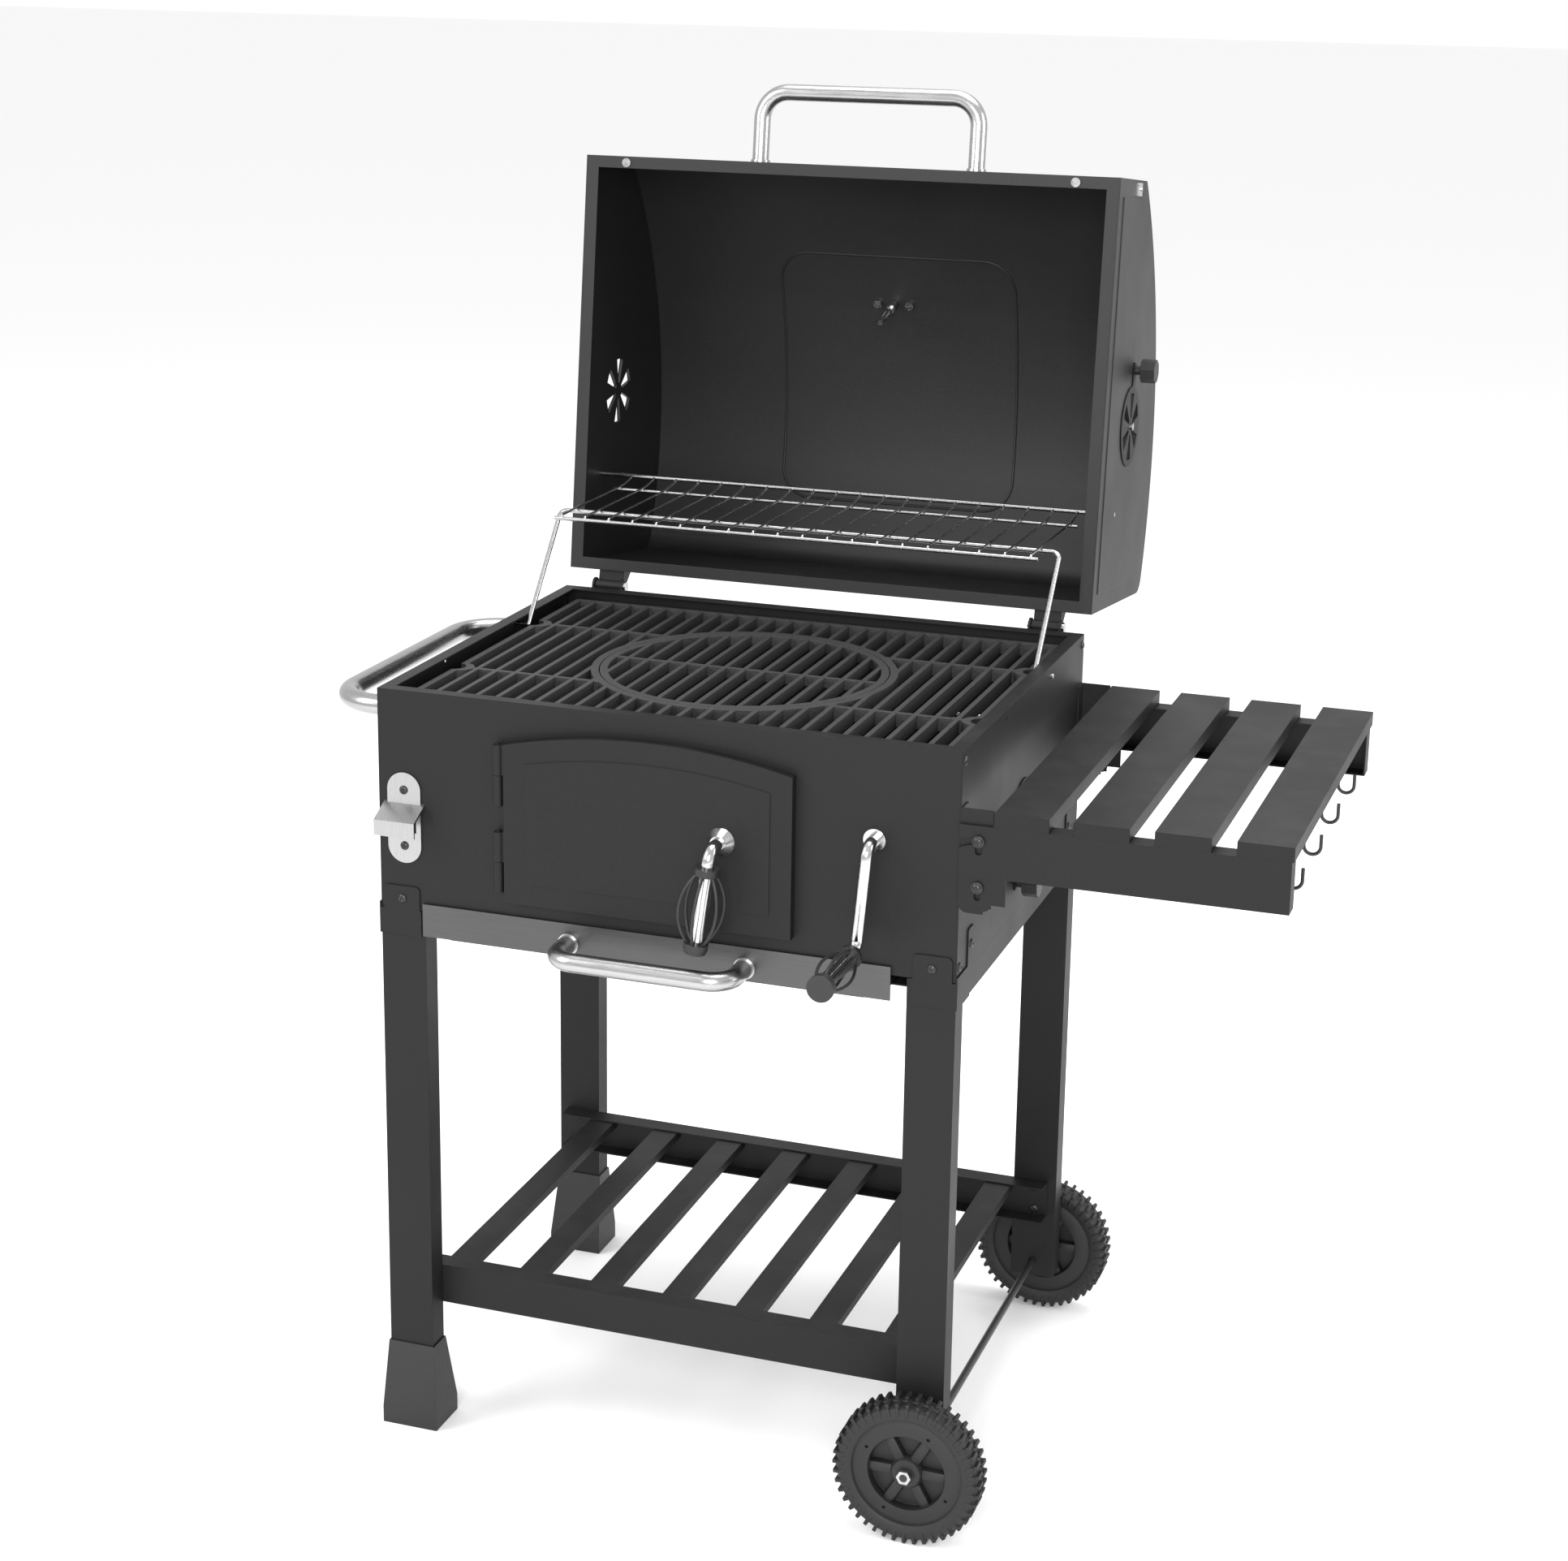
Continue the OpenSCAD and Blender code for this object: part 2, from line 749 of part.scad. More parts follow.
// The fixed bracket of the side shelf on the front corner
module side_bracket() {
    z0 = pivot_z - 21;
    z1 = side_top + 1;
    difference() {
        union() {
            block([xr, yf, z0], [xr + 31, yf + sheet_t, z1]);
            block([xr, yf, z0], [xr + sheet_t, yf + 20, z1]);
        }
        for (dz = [0, side_screw_gap]) {
            rod_y(pivot_x, yf - cut, yf + 2 * sheet_t, pivot_z + dz, side_screw_r);
        }
    }
}

module side_bracket_front() {
    color(black_paint) place() side_bracket();
}

module side_bracket_back() {
    color(black_paint) place() mirror([0, 1, 0]) side_bracket();
}

// The pivot screw and the locking screw at each end of the side shelf
module side_bracket_screws() {
    color(black_plastic) place() {
        for (sy = [0, 1]) {
            for (dz = [0, side_screw_gap]) {
                mirror([0, sy, 0]) {
                    rod_y(pivot_x, yf - 3.4, yf + sheet_t + 2, pivot_z + dz, side_screw_r);
                    rod_y(pivot_x, yf - 5.8, yf - 3.4, pivot_z + dz, side_screw_r + 3);
                }
            }
        }
    }
}

// ---------------------------------------------------------------- inside brackets

guide_w = 24;
lift_pin_r = 4;
crank_lean = 5;
guide_wall = 2;
tray_tab_w = guide_w - 2 * guide_wall - 2;

module inner_brackets() {
    lip = 22;
    run_x = xr - leg_w - leg_wall;
    color(black_paint) place() {
        for (sx = [0, 1]) {
            mirror([sx, 0, 0]) {
                // Runner for the ash pan, hung from the bottom flange
                along_y(yf + base_flange + 3, yb - base_flange - 3)
                    polygon([[xr - sheet_t, box_z + sheet_t], [xr - sheet_t, box_z + 2 * sheet_t],
                        [run_x - sheet_t, box_z + 2 * sheet_t], [run_x - sheet_t, ash_flange_z],
                        [run_x - lip, ash_flange_z], [run_x - lip, ash_flange_z - sheet_t],
                        [run_x, ash_flange_z - sheet_t], [run_x, box_z + sheet_t]]);
                // Ledges that carry the cooking grate
                for (sy = [-1, 1]) {
                    block([xr - 30, sy * 165 - 40, grate_z - 2], [xr - sheet_t, sy * 165 + 40, grate_z]);
                }
                // Upright guide for the coal tray
                difference() {
                    block([xr - sheet_t - 13, -guide_w / 2, box_z + 8], [xr - sheet_t, guide_w / 2, grate_z - 14]);
                    block([xr - sheet_t - 14, -guide_w / 2 + guide_wall, box_z + 7],
                        [xr - sheet_t - guide_wall, guide_w / 2 - guide_wall, grate_z]);
                }
            }
        }
    }
}

// ---------------------------------------------------------------- coal tray, crank and lift

module coal_tray() {
    floor_t = 1.5;
    z1 = tray_z + tray_h;
    slot_c = crank_x - lift_arm;
    slot_half = lift_pin_r + lift_play;
    slots = 13;
    color(black_paint) place() {
        difference() {
            block([-tray_w / 2, -tray_d / 2, tray_z], [tray_w / 2, tray_d / 2, z1]);
            block([-tray_w / 2 + floor_t, -tray_d / 2 + floor_t, tray_z + floor_t],
                [tray_w / 2 - floor_t, tray_d / 2 - floor_t, z1 + cut]);
            for (i = [0:slots - 1]) {
                x = (i - (slots - 1) / 2) * (tray_w - 60) / (slots - 1);
                for (sy = [-1, 1]) {
                    block([x - 3, sy * tray_d / 4 - 70, tray_z - cut], [x + 3, sy * tray_d / 4 + 70, tray_z + 2]);
                }
            }
        }
        // Tabs that ride in the guides
        for (s = [-1, 1]) {
            inner = tray_w / 2;
            outer = xr - sheet_t - guide_wall - 3;
            block([s > 0 ? inner : -outer, -tray_tab_w / 2, tray_z],
                [s > 0 ? outer : -inner, tray_tab_w / 2, z1 - 5]);
        }
        // Slotted hangers that the lifting pins carry
        for (s = [-1, 1]) {
            face = s > 0 ? tray_d / 2 : -tray_d / 2 - 2;
            along_y(face, face + 2) difference() {
                translate([slot_c - 16, tray_z]) square([48, crank_z - tray_z + 14]);
                translate([slot_c - slot_half, crank_z - slot_half])
                    square([lift_pin_r * 6, 2 * slot_half]);
            }
        }
    }
}

// The crank: grip arm outside, shaft through the firebox and two lifting arms
module crank_rod() {
    bend = 12;
    arm_y = tray_d / 2 + 7;
    color(bright_steel) place() translate([crank_x, 0, crank_z]) {
        rotate([0, crank_lean, 0]) {
            rod_y(0, yf - crank_out + bend, yb + 2, 0, crank_shaft_r);
            translate([0, yf - crank_out + bend, -bend]) rotate([0, 90, 0]) rotate([0, 0, 180])
                rotate_extrude(angle = 90) translate([bend, 0]) circle(r = crank_shaft_r);
            translate([0, yf - crank_out, -crank_arm + bend])
                cylinder(r = crank_shaft_r, h = crank_arm - 2 * bend);
            translate([0, yf - crank_out - bend, -crank_arm + bend]) rotate([0, 90, 0])
                rotate_extrude(angle = 90) translate([bend, 0]) circle(r = crank_shaft_r);
            rod_y(0, yf - crank_out - crank_grip, yf - crank_out - bend, -crank_arm, crank_shaft_r);
        }
        for (s = [-1, 1]) {
            rod_x(-lift_arm, -2, s * arm_y, 0, lift_pin_r);
            translate([-lift_arm, s * arm_y, 0]) sphere(r = lift_pin_r);
            rod_y(-lift_arm, s > 0 ? arm_y - 9 : -arm_y, s > 0 ? arm_y : -arm_y + 9, 0, lift_pin_r);
        }
    }
}

// Collars and bowed wires of a grip that runs along -Z from the origin
module cage_grip(len, belly, core_r) {
    wires = 6;
    collar_r = 12;
    collar_h = 7;
    chord = len - 2 * collar_h;
    bow = belly - collar_r + 3;
    bow_r = (chord * chord / 4 + bow * bow) / (2 * bow);
    half = asin(chord / 2 / bow_r);
    for (z = [-collar_h, -len]) {
        translate([0, 0, z]) difference() {
            cylinder(r = collar_r, h = collar_h);
            translate([0, 0, -cut]) cylinder(r = core_r, h = collar_h + 2 * cut);
        }
    }
    for (i = [0:wires - 1]) {
        rotate([0, 0, i * 360 / wires + 30])
            translate([collar_r - 3 - (bow_r - bow), 0, -len / 2])
                rotate([90, 0, 0])
                    rotate([0, 0, -half])
                        rotate_extrude(angle = 2 * half, $fn = 64) translate([bow_r, 0]) circle(r = 1.5, $fn = 16);
    }
}

module crank_cage() {
    bend_end = 18;
    len = crank_grip - bend_end;
    color(black_plastic) place() translate([crank_x, yf - crank_out, crank_z]) rotate([0, crank_lean, 0])
        translate([0, -bend_end, -crank_arm]) rotate([-90, 0, 0]) {
            cage_grip(len, 16, crank_shaft_r);
            translate([0, 0, -len - grip_cap]) cylinder(r = 13, h = grip_cap);
        }
}

// ---------------------------------------------------------------- ash drawer

module ash_pan() {
    back = yb - 30;
    front = strip_y + sheet_t;
    x0 = ash_x - ash_w / 2;
    x1 = ash_x + ash_w / 2;
    wall_in = 24;
    color(black_paint) place() {
        difference() {
            union() {
                block([x0 + wall_in, front, ash_flange_z - ash_h], [x1 - wall_in, back, ash_flange_z]);
                block([x0, front, ash_flange_z], [x1, back, ash_flange_z + sheet_t]);
            }
            block([x0 + wall_in + sheet_t, front + sheet_t, ash_flange_z - ash_h + sheet_t],
                [x1 - wall_in - sheet_t, back - sheet_t, ash_flange_z + 10]);
        }
    }
}

module ash_strip() {
    x0 = ash_x - ash_w / 2 - 6;
    x1 = ash_x + ash_w / 2 + 3;
    color(brushed_steel) place() block([x0, strip_y, strip_z], [x1, strip_y + sheet_t, strip_z + strip_h]);
}

module ash_handle() {
    z = strip_z + 14;
    color(bright_steel) place() translate([ash_x + 5, strip_y, z]) {
        u_bar(ash_handle_w, ash_handle_out, ash_handle_dia, 24);
        for (s = [-1, 1]) {
            translate([s * ash_handle_w / 2, 0, 0]) rotate([90, 0, 0])
                cylinder(r = ash_handle_dia / 2 + 1.5, h = 4);
        }
    }
}

// ---------------------------------------------------------------- grates

module cooking_grate() {
    z1 = grate_z + grate_h;
    pitch = (grate_w - bar_w) / grate_gaps;
    edge = 7;
    color(cast_black) place() difference() {
        union() {
            difference() {
                union() {
                    for (i = [1:grate_gaps - 1]) {
                        x = -grate_w / 2 + bar_w / 2 + i * pitch;
                        block([x - bar_w / 2, -grate_d / 2 + 1, grate_z], [x + bar_w / 2, grate_d / 2 - 1, z1]);
                    }
                    for (s = [-1, 1]) {
                        block([-grate_w / 2 + 1, s * cross_bar_y - bar_w / 2, grate_z],
                            [grate_w / 2 - 1, s * cross_bar_y + bar_w / 2, z1]);
                    }
                }
                translate([0, 0, grate_z - cut]) cylinder(r = ring_r - ring_w / 2, h = grate_h + 2 * cut, $fn = 120);
            }
            difference() {
                block([-grate_w / 2, -grate_d / 2, grate_z], [grate_w / 2, grate_d / 2, z1]);
                block([-grate_w / 2 + edge, -grate_d / 2 + edge, grate_z - cut],
                    [grate_w / 2 - edge, grate_d / 2 - edge, z1 + cut]);
            }
            difference() {
                translate([0, 0, grate_z]) cylinder(r = ring_r, h = grate_h, $fn = 120);
                translate([0, 0, grate_z - cut])
                    cylinder(r = ring_r - ring_w, h = grate_h + 2 * cut, $fn = 120);
            }
            // Ledge that carries the round insert
            difference() {
                translate([0, 0, grate_z]) cylinder(r = ring_r - 1, h = 3, $fn = 120);
                translate([0, 0, grate_z - cut]) cylinder(r = ring_r - ring_w - 5, h = 6, $fn = 120);
            }
            // Eyes round the finger notches
            for (sx = [-1, 1]) {
                for (sy = [-1, 1]) {
                    translate([sx * (grate_w / 2 - 4), sy * cross_bar_y, grate_z]) cylinder(r = 15, h = grate_h);
                }
            }
        }
        for (sx = [-1, 1]) {
            for (sy = [-1, 1]) {
                translate([sx * (grate_w / 2 + 2), sy * cross_bar_y, grate_z - cut])
                    cylinder(r = 12, h = grate_h + 2 * cut);
                block([sx > 0 ? grate_w / 2 : -grate_w / 2 - 20, sy * cross_bar_y - 20, grate_z - cut],
                    [sx > 0 ? grate_w / 2 + 20 : -grate_w / 2, sy * cross_bar_y + 20, z1 + cut]);
            }
        }
    }
}

module grate_insert() {
    z0 = grate_z + 3.2;
    h = grate_h - 3.2;
    r = ring_r - ring_w - insert_gap;
    pitch = (grate_w - bar_w) / grate_gaps;
    color(cast_black) place() {
        difference() {
            translate([0, 0, z0]) cylinder(r = r, h = h, $fn = 120);
            translate([0, 0, z0 - cut]) cylinder(r = r - ring_w, h = h + 2 * cut, $fn = 120);
        }
        intersection() {
            translate([0, 0, z0]) cylinder(r = r - ring_w / 2, h = h, $fn = 120);
            union() {
                for (i = [-6:6]) {
                    block([i * pitch - bar_w / 2, -r, z0], [i * pitch + bar_w / 2, r, z0 + h]);
                }
                block([-r, -bar_w / 2, z0], [r, bar_w / 2, z0 + h]);
            }
        }
    }
}

// ---------------------------------------------------------------- fire door

hinge_low = door_z + 10;
hinge_high = door_z + 99;
knuckle_h = 31;

module door_panel() {
    y0 = yf - 1 - door_depth;
    color(black_paint) place() difference() {
        union() {
            difference() {
                along_y(y0, yf - 1) door_shape(0);
                along_y(y0 + sheet_t, yf) door_shape(sheet_t);
            }
            along_y(y0 - 1, y0 + 0.5) door_shape(22);
        }
        rod_y(latch_x, y0 - 2, yf, latch_z, handle_rod_r + run_fit);
    }
}

// Knuckles of the door's hinges: the lower half is fixed, the upper half moves
module door_hinge_fixed() {
    color(black_paint) place() for (z = [hinge_low, hinge_high]) {
        translate([door_hinge_x, door_hinge_y, z]) cylinder(r = hinge_knuckle_r, h = knuckle_h);
        translate([door_hinge_x, door_hinge_y, z]) cylinder(r = 2, h = 2 * knuckle_h + 2);
        block([door_hinge_x - hinge_knuckle_r, door_hinge_y, z], [door_hinge_x, yf, z + knuckle_h]);
    }
}

module door_hinge_moving() {
    z_gap = 0.4;
    color(black_paint) place() for (z = [hinge_low, hinge_high]) {
        difference() {
            union() {
                translate([door_hinge_x, door_hinge_y, z + knuckle_h + z_gap])
                    cylinder(r = hinge_knuckle_r, h = knuckle_h - z_gap);
                block([door_hinge_x, door_hinge_y - 2, z + knuckle_h + z_gap],
                    [door_left, door_hinge_y + 2, z + 2 * knuckle_h]);
            }
            translate([door_hinge_x, door_hinge_y, z]) cylinder(r = 2 + run_fit, h = 3 * knuckle_h);
        }
    }
}

handle_lean = 8;
handle_out = 30;
handle_face = yf - 2 - door_depth;
handle_rod_r = 6.5;
handle_grip_top = 17;
handle_grip_len = 84;

// The latch rod: escutcheon, bent rod and the tongue behind the panel
module door_handle_rod() {
    bend = 12;
    boss_h = 9;
    tongue = door_z + door_h - door_lap + 14 - latch_z;
    color(bright_steel) place() translate([latch_x, 0, latch_z]) {
        rotate([0, handle_lean, 0]) {
            translate([0, handle_face - 0.3, 0]) rotate([90, 0, 0]) cylinder(r1 = 14, r2 = 8, h = boss_h);
            rod_y(0, handle_face - handle_out + bend, yf + 6, 0, handle_rod_r);
            translate([0, handle_face - handle_out + bend, -bend]) rotate([0, 90, 0]) rotate([0, 0, 180])
                rotate_extrude(angle = 90) translate([bend, 0]) circle(r = handle_rod_r);
            translate([0, handle_face - handle_out, -handle_grip_top - handle_grip_len])
                cylinder(r = handle_rod_r, h = handle_grip_top + handle_grip_len - bend);
        }
        block([-tongue, yf + 4, -7], [7, yf + 6, 7]);
    }
}

module door_handle_cage() {
    cap_h = 3;
    color(black_plastic) place() translate([latch_x, handle_face - handle_out, latch_z])
        rotate([0, handle_lean, 0]) translate([0, 0, -handle_grip_top]) {
            cage_grip(handle_grip_len, 22, handle_rod_r);
            translate([0, 0, -handle_grip_len - cap_h]) cylinder(r = 11, h = cap_h);
        }
}

// ---------------------------------------------------------------- lid

// Side view of the closed lid, shrunk by i, with the hinge edge at the origin and -X to the front
module lid_profile(i) {
    r = roof_r - i;
    rf = roof_corner_r - i;
    back_z = roof_k + sqrt(pow(r - rf, 2) - pow(crown_s - i - rf, 2));
    front_run = lid_d - crown_s - i - rf;
    front_z = roof_k + sqrt(pow(r - rf, 2) - pow(front_run, 2));
    back_c = [-i - rf, back_z];
    front_c = [-lid_d + i + rf, front_z];
    o = [-crown_s, roof_k];
    difference() {
        intersection() {
            translate([-lid_d + i, 0]) square([lid_d - 2 * i, crown_h + 10]);
            translate(o) circle(r = r, $fn = 240);
        }
        difference() {
            polygon([back_c, back_c + (back_c - o) * 0.3, [20, crown_h + 60], [20, back_z]]);
            translate(back_c) circle(r = rf);
        }
        difference() {
            polygon([front_c, [-lid_d - 20, front_z], [-lid_d - 20, crown_h + 60],
                front_c + (front_c - o) * 0.3]);
            translate(front_c) circle(r = rf);
        }
    }
}

module lid_shell() {
    half = lid_w / 2 - sheet_t;
    flange = 13;
    color(black_paint) open_lid() difference() {
        union() {
            translate([0, mouth_y, mouth_z]) along_x(-half, half) difference() {
                lid_profile(0);
                lid_profile(sheet_t);
                translate([-lid_d + sheet_t, -cut]) square([lid_d - 2 * sheet_t, 2 * cut]);
            }
            // Folded flange round the mouth
            lid_at(0, 0, 0) difference() {
                block([-half, -lid_d, 0], [half, 0, sheet_t]);
                block([-half + flange, -lid_d + flange, -cut], [half - flange, -flange, sheet_t + cut]);
            }
            // Raised panel of the roof
            intersection() {
                translate([0, mouth_y, mouth_z]) along_x(-140, 140) difference() {
                    translate([-crown_s, roof_k]) circle(r = roof_r + 1, $fn = 240);
                    translate([-crown_s, roof_k]) circle(r = roof_r - 0.5, $fn = 240);
                }
                lid_at(0, 221, 100) linear_extrude(200) round_rect(280, 284, 35);
            }
        }
        lid_at(-5, crown_s, roof_k) rotate([dial_angle, 0, 0]) translate([0, 0, roof_r - 20])
            cylinder(r = 5 + run_fit, h = 60);
    }
}

// An end cap, drawn on the right: a plate with a raised panel and damper openings
module lid_cap() {
    half = lid_w / 2;
    difference() {
        union() {
            translate([0, mouth_y, mouth_z]) along_x(half - sheet_t, half) lid_profile(0);
            translate([0, mouth_y, mouth_z]) along_x(half - 0.5, half + 1) intersection() {
                lid_profile(20);
                translate([-lid_d, 20]) square([lid_d, crown_h]);
            }
        }
        translate([0, mouth_y - lid_damper_s, mouth_z + lid_damper_h])
            along_x(half - 2 * sheet_t, half + 4) damper_wedges(9, damper_open_r);
        rod_x(half - 2 * sheet_t, half + 4, rack_a[0], rack_a[1], rack_wire / 2 + run_fit);
    }
}

// The rack's rear pivot, seen from the hinge pin with the lid closed
rack_a = [leg_back * cos(lid_open) - leg_up * sin(lid_open), leg_back * sin(lid_open) + leg_up * cos(lid_open)];

module lid_cap_left() {
    color(black_paint) open_lid() mirror([1, 0, 0]) lid_cap();
}

module lid_cap_right() {
    color(black_paint) open_lid() lid_cap();
}

module lid_handle() {
    color(bright_steel) open_lid() lid_at(0, lid_d, 77) {
        u_bar(lid_handle_w, lid_handle_out, lid_handle_dia, 30);
        for (s = [-1, 1]) {
            translate([s * lid_handle_w / 2, 0, 0]) rotate([90, 0, 0])
                cylinder(r = lid_handle_dia / 2 + 1.5, h = 4);
        }
    }
}

// Bumper plugs, corner clip, thermometer nuts, damper rivets and handle screws
module lid_fasteners() {
    half = lid_w / 2;
    color(bright_steel) open_lid() {
        for (s = [-1, 1]) {
            lid_at(s * 255, lid_d - 7, -lid_gap + 0.2) cylinder(r = 5, h = lid_gap - 0.2);
            lid_at(s * lid_handle_w / 2, lid_d - sheet_t, 77) rotate([-90, 0, 0]) hex_nut(13, 5);
            mirror([s > 0 ? 0 : 1, 0, 0]) translate([half + 1, mouth_y - lid_damper_s, mouth_z + lid_damper_h])
                rotate([0, 90, 0]) cylinder(r = 4, h = 4.5);
        }
        lid_at(half, lid_d - 10, 97) rotate([0, 90, 0]) {
            cylinder(r = 2, h = 3);
            translate([-9, -7, 0]) cube([18, 14, 1.2]);
        }
        for (dx = [-19, 19]) {
            lid_at(-5 + dx, crown_s, roof_k) rotate([dial_angle, 0, 0])
                translate([0, 0, roof_r - sheet_t - 4.8]) cylinder(r = 5, h = 4.6);
        }
    }
}

// Leaves that join the lid's back wall to the hinge pins
leaf_w = 30;

module lid_hinge_leaves() {
    color(black_paint) open_lid() {
        for (s = [-1, 1]) {
            difference() {
                union() {
                    rod_x(s * hinge_x - leaf_w / 2, s * hinge_x + leaf_w / 2, 0, 0, hinge_pin_r + 3);
                    along_x(s * hinge_x - leaf_w / 2, s * hinge_x + leaf_w / 2)
                        polygon([[-5, -2], [4, 3.5], [-1, 14], [mouth_y + 3, 26], [mouth_y, 26],
                            [mouth_y, mouth_z + 5], [-5, 5]]);
                }
                rod_x(s * hinge_x - leaf_w, s * hinge_x + leaf_w, 0, 0, hinge_pin_r + run_fit);
            }
        }
    }
}

// Two-eared brackets on the firebox's back
module lid_hinge_brackets() {
    ear = 2.5;
    gap = 0.5;
    color(black_paint) place() for (s = [-1, 1]) {
        for (e = [-1, 1]) {
            x = s * hinge_x + e * (leaf_w / 2 + gap + ear / 2);
            difference() {
                union() {
                    rod_x(x - ear / 2, x + ear / 2, hinge_y, hinge_z, 8);
                    along_x(x - ear / 2, x + ear / 2)
                        polygon([[yb, hinge_z - 34], [hinge_y, hinge_z - 20], [hinge_y + 8, hinge_z],
                            [yb, hinge_z - 2]]);
                }
                rod_x(x - ear, x + ear, hinge_y, hinge_z, hinge_pin_r);
                block([x - ear, yb - 10, hinge_z - 20], [x + ear, yb, hinge_z + 20]);
            }
        }
        x = s * hinge_x;
        block([x - leaf_w / 2 - gap - ear, yb, hinge_z - 42], [x + leaf_w / 2 + gap + ear, yb + 2, hinge_z - 14]);
    }
}

module lid_hinge_pins() {
    color(bright_steel) place() for (s = [-1, 1]) {
        rod_x(s * hinge_x - leaf_w / 2 - 5, s * hinge_x + leaf_w / 2 + 5, hinge_y, hinge_z, hinge_pin_r);
        rod_x(s * hinge_x + leaf_w / 2 + 3.2, s * hinge_x + leaf_w / 2 + 6, hinge_y, hinge_z, hinge_pin_r + 2.5);
    }
}

module thermometer_case() {
    color(bright_steel) open_lid() lid_at(-5, crown_s, roof_k) rotate([dial_angle, 0, 0])
        translate([0, 0, roof_r + 1]) {
            difference() {
                cylinder(r = dial_r, h = dial_out - 1);
                translate([0, 0, dial_out - 4]) cylinder(r = dial_r - 3, h = 6);
            }
            translate([0, 0, -18]) cylinder(r = 5, h = 18);
            translate([0, 0, -60]) cylinder(r = 3, h = 43);
        }
}

module thermometer_dial() {
    color("white") open_lid() lid_at(-5, crown_s, roof_k) rotate([dial_angle, 0, 0])
        translate([0, 0, roof_r + dial_out - 3]) {
            cylinder(r = dial_r - 3, h = 0.8);
            translate([-1, -3, 0.8]) cube([2, dial_r - 8, 0.8]);
            translate([0, 0, 0.8]) cylinder(r = 3, h = 1);
        }
}

// ---------------------------------------------------------------- dampers

// A damper disc and its lever in the YZ plane, with its pivot at the origin
module damper_disc(lever_angle) {
    difference() {
        union() {
            rotate([0, 90, 0]) cylinder(r = damper_r, h = 1.2);
            rotate([lever_angle, 0, 0]) translate([0, -6, 0]) cube([1.2, 12, damper_lever]);
        }
        translate([-cut, 0, 0]) along_x(0, 4) damper_wedges(9, damper_open_r);
        translate([-cut, 0, 0]) rotate([0, 90, 0]) cylinder(r = 4 + run_fit, h = 4);
    }
}

module damper_knob(lever_angle) {
    rotate([lever_angle, 0, 0]) translate([0, 0, damper_lever - 8]) {
        translate([1.2, 0, 0]) rotate([0, 90, 0]) cylinder(r = 5, h = 7);
        translate([8.2, 0, 0]) rotate([0, 90, 0]) cylinder(r = 13, h = 16, $fn = 8);
    }
}

module on_lid_damper(side) {
    open_lid() mirror([side, 0, 0])
        translate([lid_w / 2 + 1.2, mouth_y - lid_damper_s, mouth_z + lid_damper_h]) children();
}

module on_box_damper() {
    place() translate([xr + 0.3, yf + box_damper_y, box_z + box_damper_h]) children();
}

lid_lever_angle = 82;
box_lever_angle = 166;

module lid_damper_left() {
    color(black_paint) on_lid_damper(1) damper_disc(lid_lever_angle);
}

module lid_damper_knob_left() {
    color(black_plastic) on_lid_damper(1) damper_knob(lid_lever_angle);
}

module lid_damper_right() {
    color(black_paint) on_lid_damper(0) damper_disc(lid_lever_angle);
}

module lid_damper_knob_right() {
    color(black_plastic) on_lid_damper(0) damper_knob(lid_lever_angle);
}

module box_damper() {
    color(black_paint) on_box_damper() {
        damper_disc(box_lever_angle);
    }
}

module box_damper_knob() {
    color(black_plastic) on_box_damper() damper_knob(box_lever_angle);
}

// ---------------------------------------------------------------- warming rack

// Rack points in the YZ plane of the open trolley
rack_rear = [hinge_y + leg_back, hinge_z + leg_up];
rack_bar = [rack_py + leg_back, rack_pz + leg_up];

module warming_rack() {
    r = rack_wire / 2;
    c = cross_wire / 2;
    half = rack_leg_x - 10;
    clear = 1.5;
    front = [rack_bar[0] - 46, rack_bar[1] + r + c + clear - 1];
    pitch = 2 * (half - 8) / (rack_count - 1);
    color(bright_steel) place() {
        rod_x(-lid_w / 2 - 1, lid_w / 2 + 1, rack_rear[0], rack_rear[1], r);
        rod_x(-half, half, front[0], front[1], r);
        for (i = [0:rack_count - 1]) {
            x = -half + 8 + i * pitch;
            bar([x, front[0], front[1]], [x, rack_rear[0], rack_rear[1]], c);
        }
    }
}

// The swing legs and the bar that joins them, one bent wire
module rack_legs() {
    r = rack_wire / 2;
    bend = 8;
    len = norm([leg_back, leg_up]);
    angle = atan2(leg_back, leg_up);
    color(bright_steel) place() translate([0, rack_py, rack_pz]) rotate([-angle, 0, 0]) {
        for (s = [-1, 1]) {
            rod_x(s > 0 ? rack_leg_x : -xr - 3, s > 0 ? xr + 3 : -rack_leg_x, 0, 0, r);
            translate([s * rack_leg_x, 0, 0]) sphere(r = r);
            translate([s * rack_leg_x, 0, 0]) cylinder(r = r, h = len - bend);
            translate([s * (rack_leg_x - bend), 0, len - bend]) rotate([90, 0, 0])
                rotate([0, 0, s > 0 ? 0 : 90]) rotate_extrude(angle = 90) translate([bend, 0]) circle(r = r);
        }
        rod_x(-rack_leg_x + bend, rack_leg_x - bend, 0, len, r);
    }
}

// ---------------------------------------------------------------- side shelf

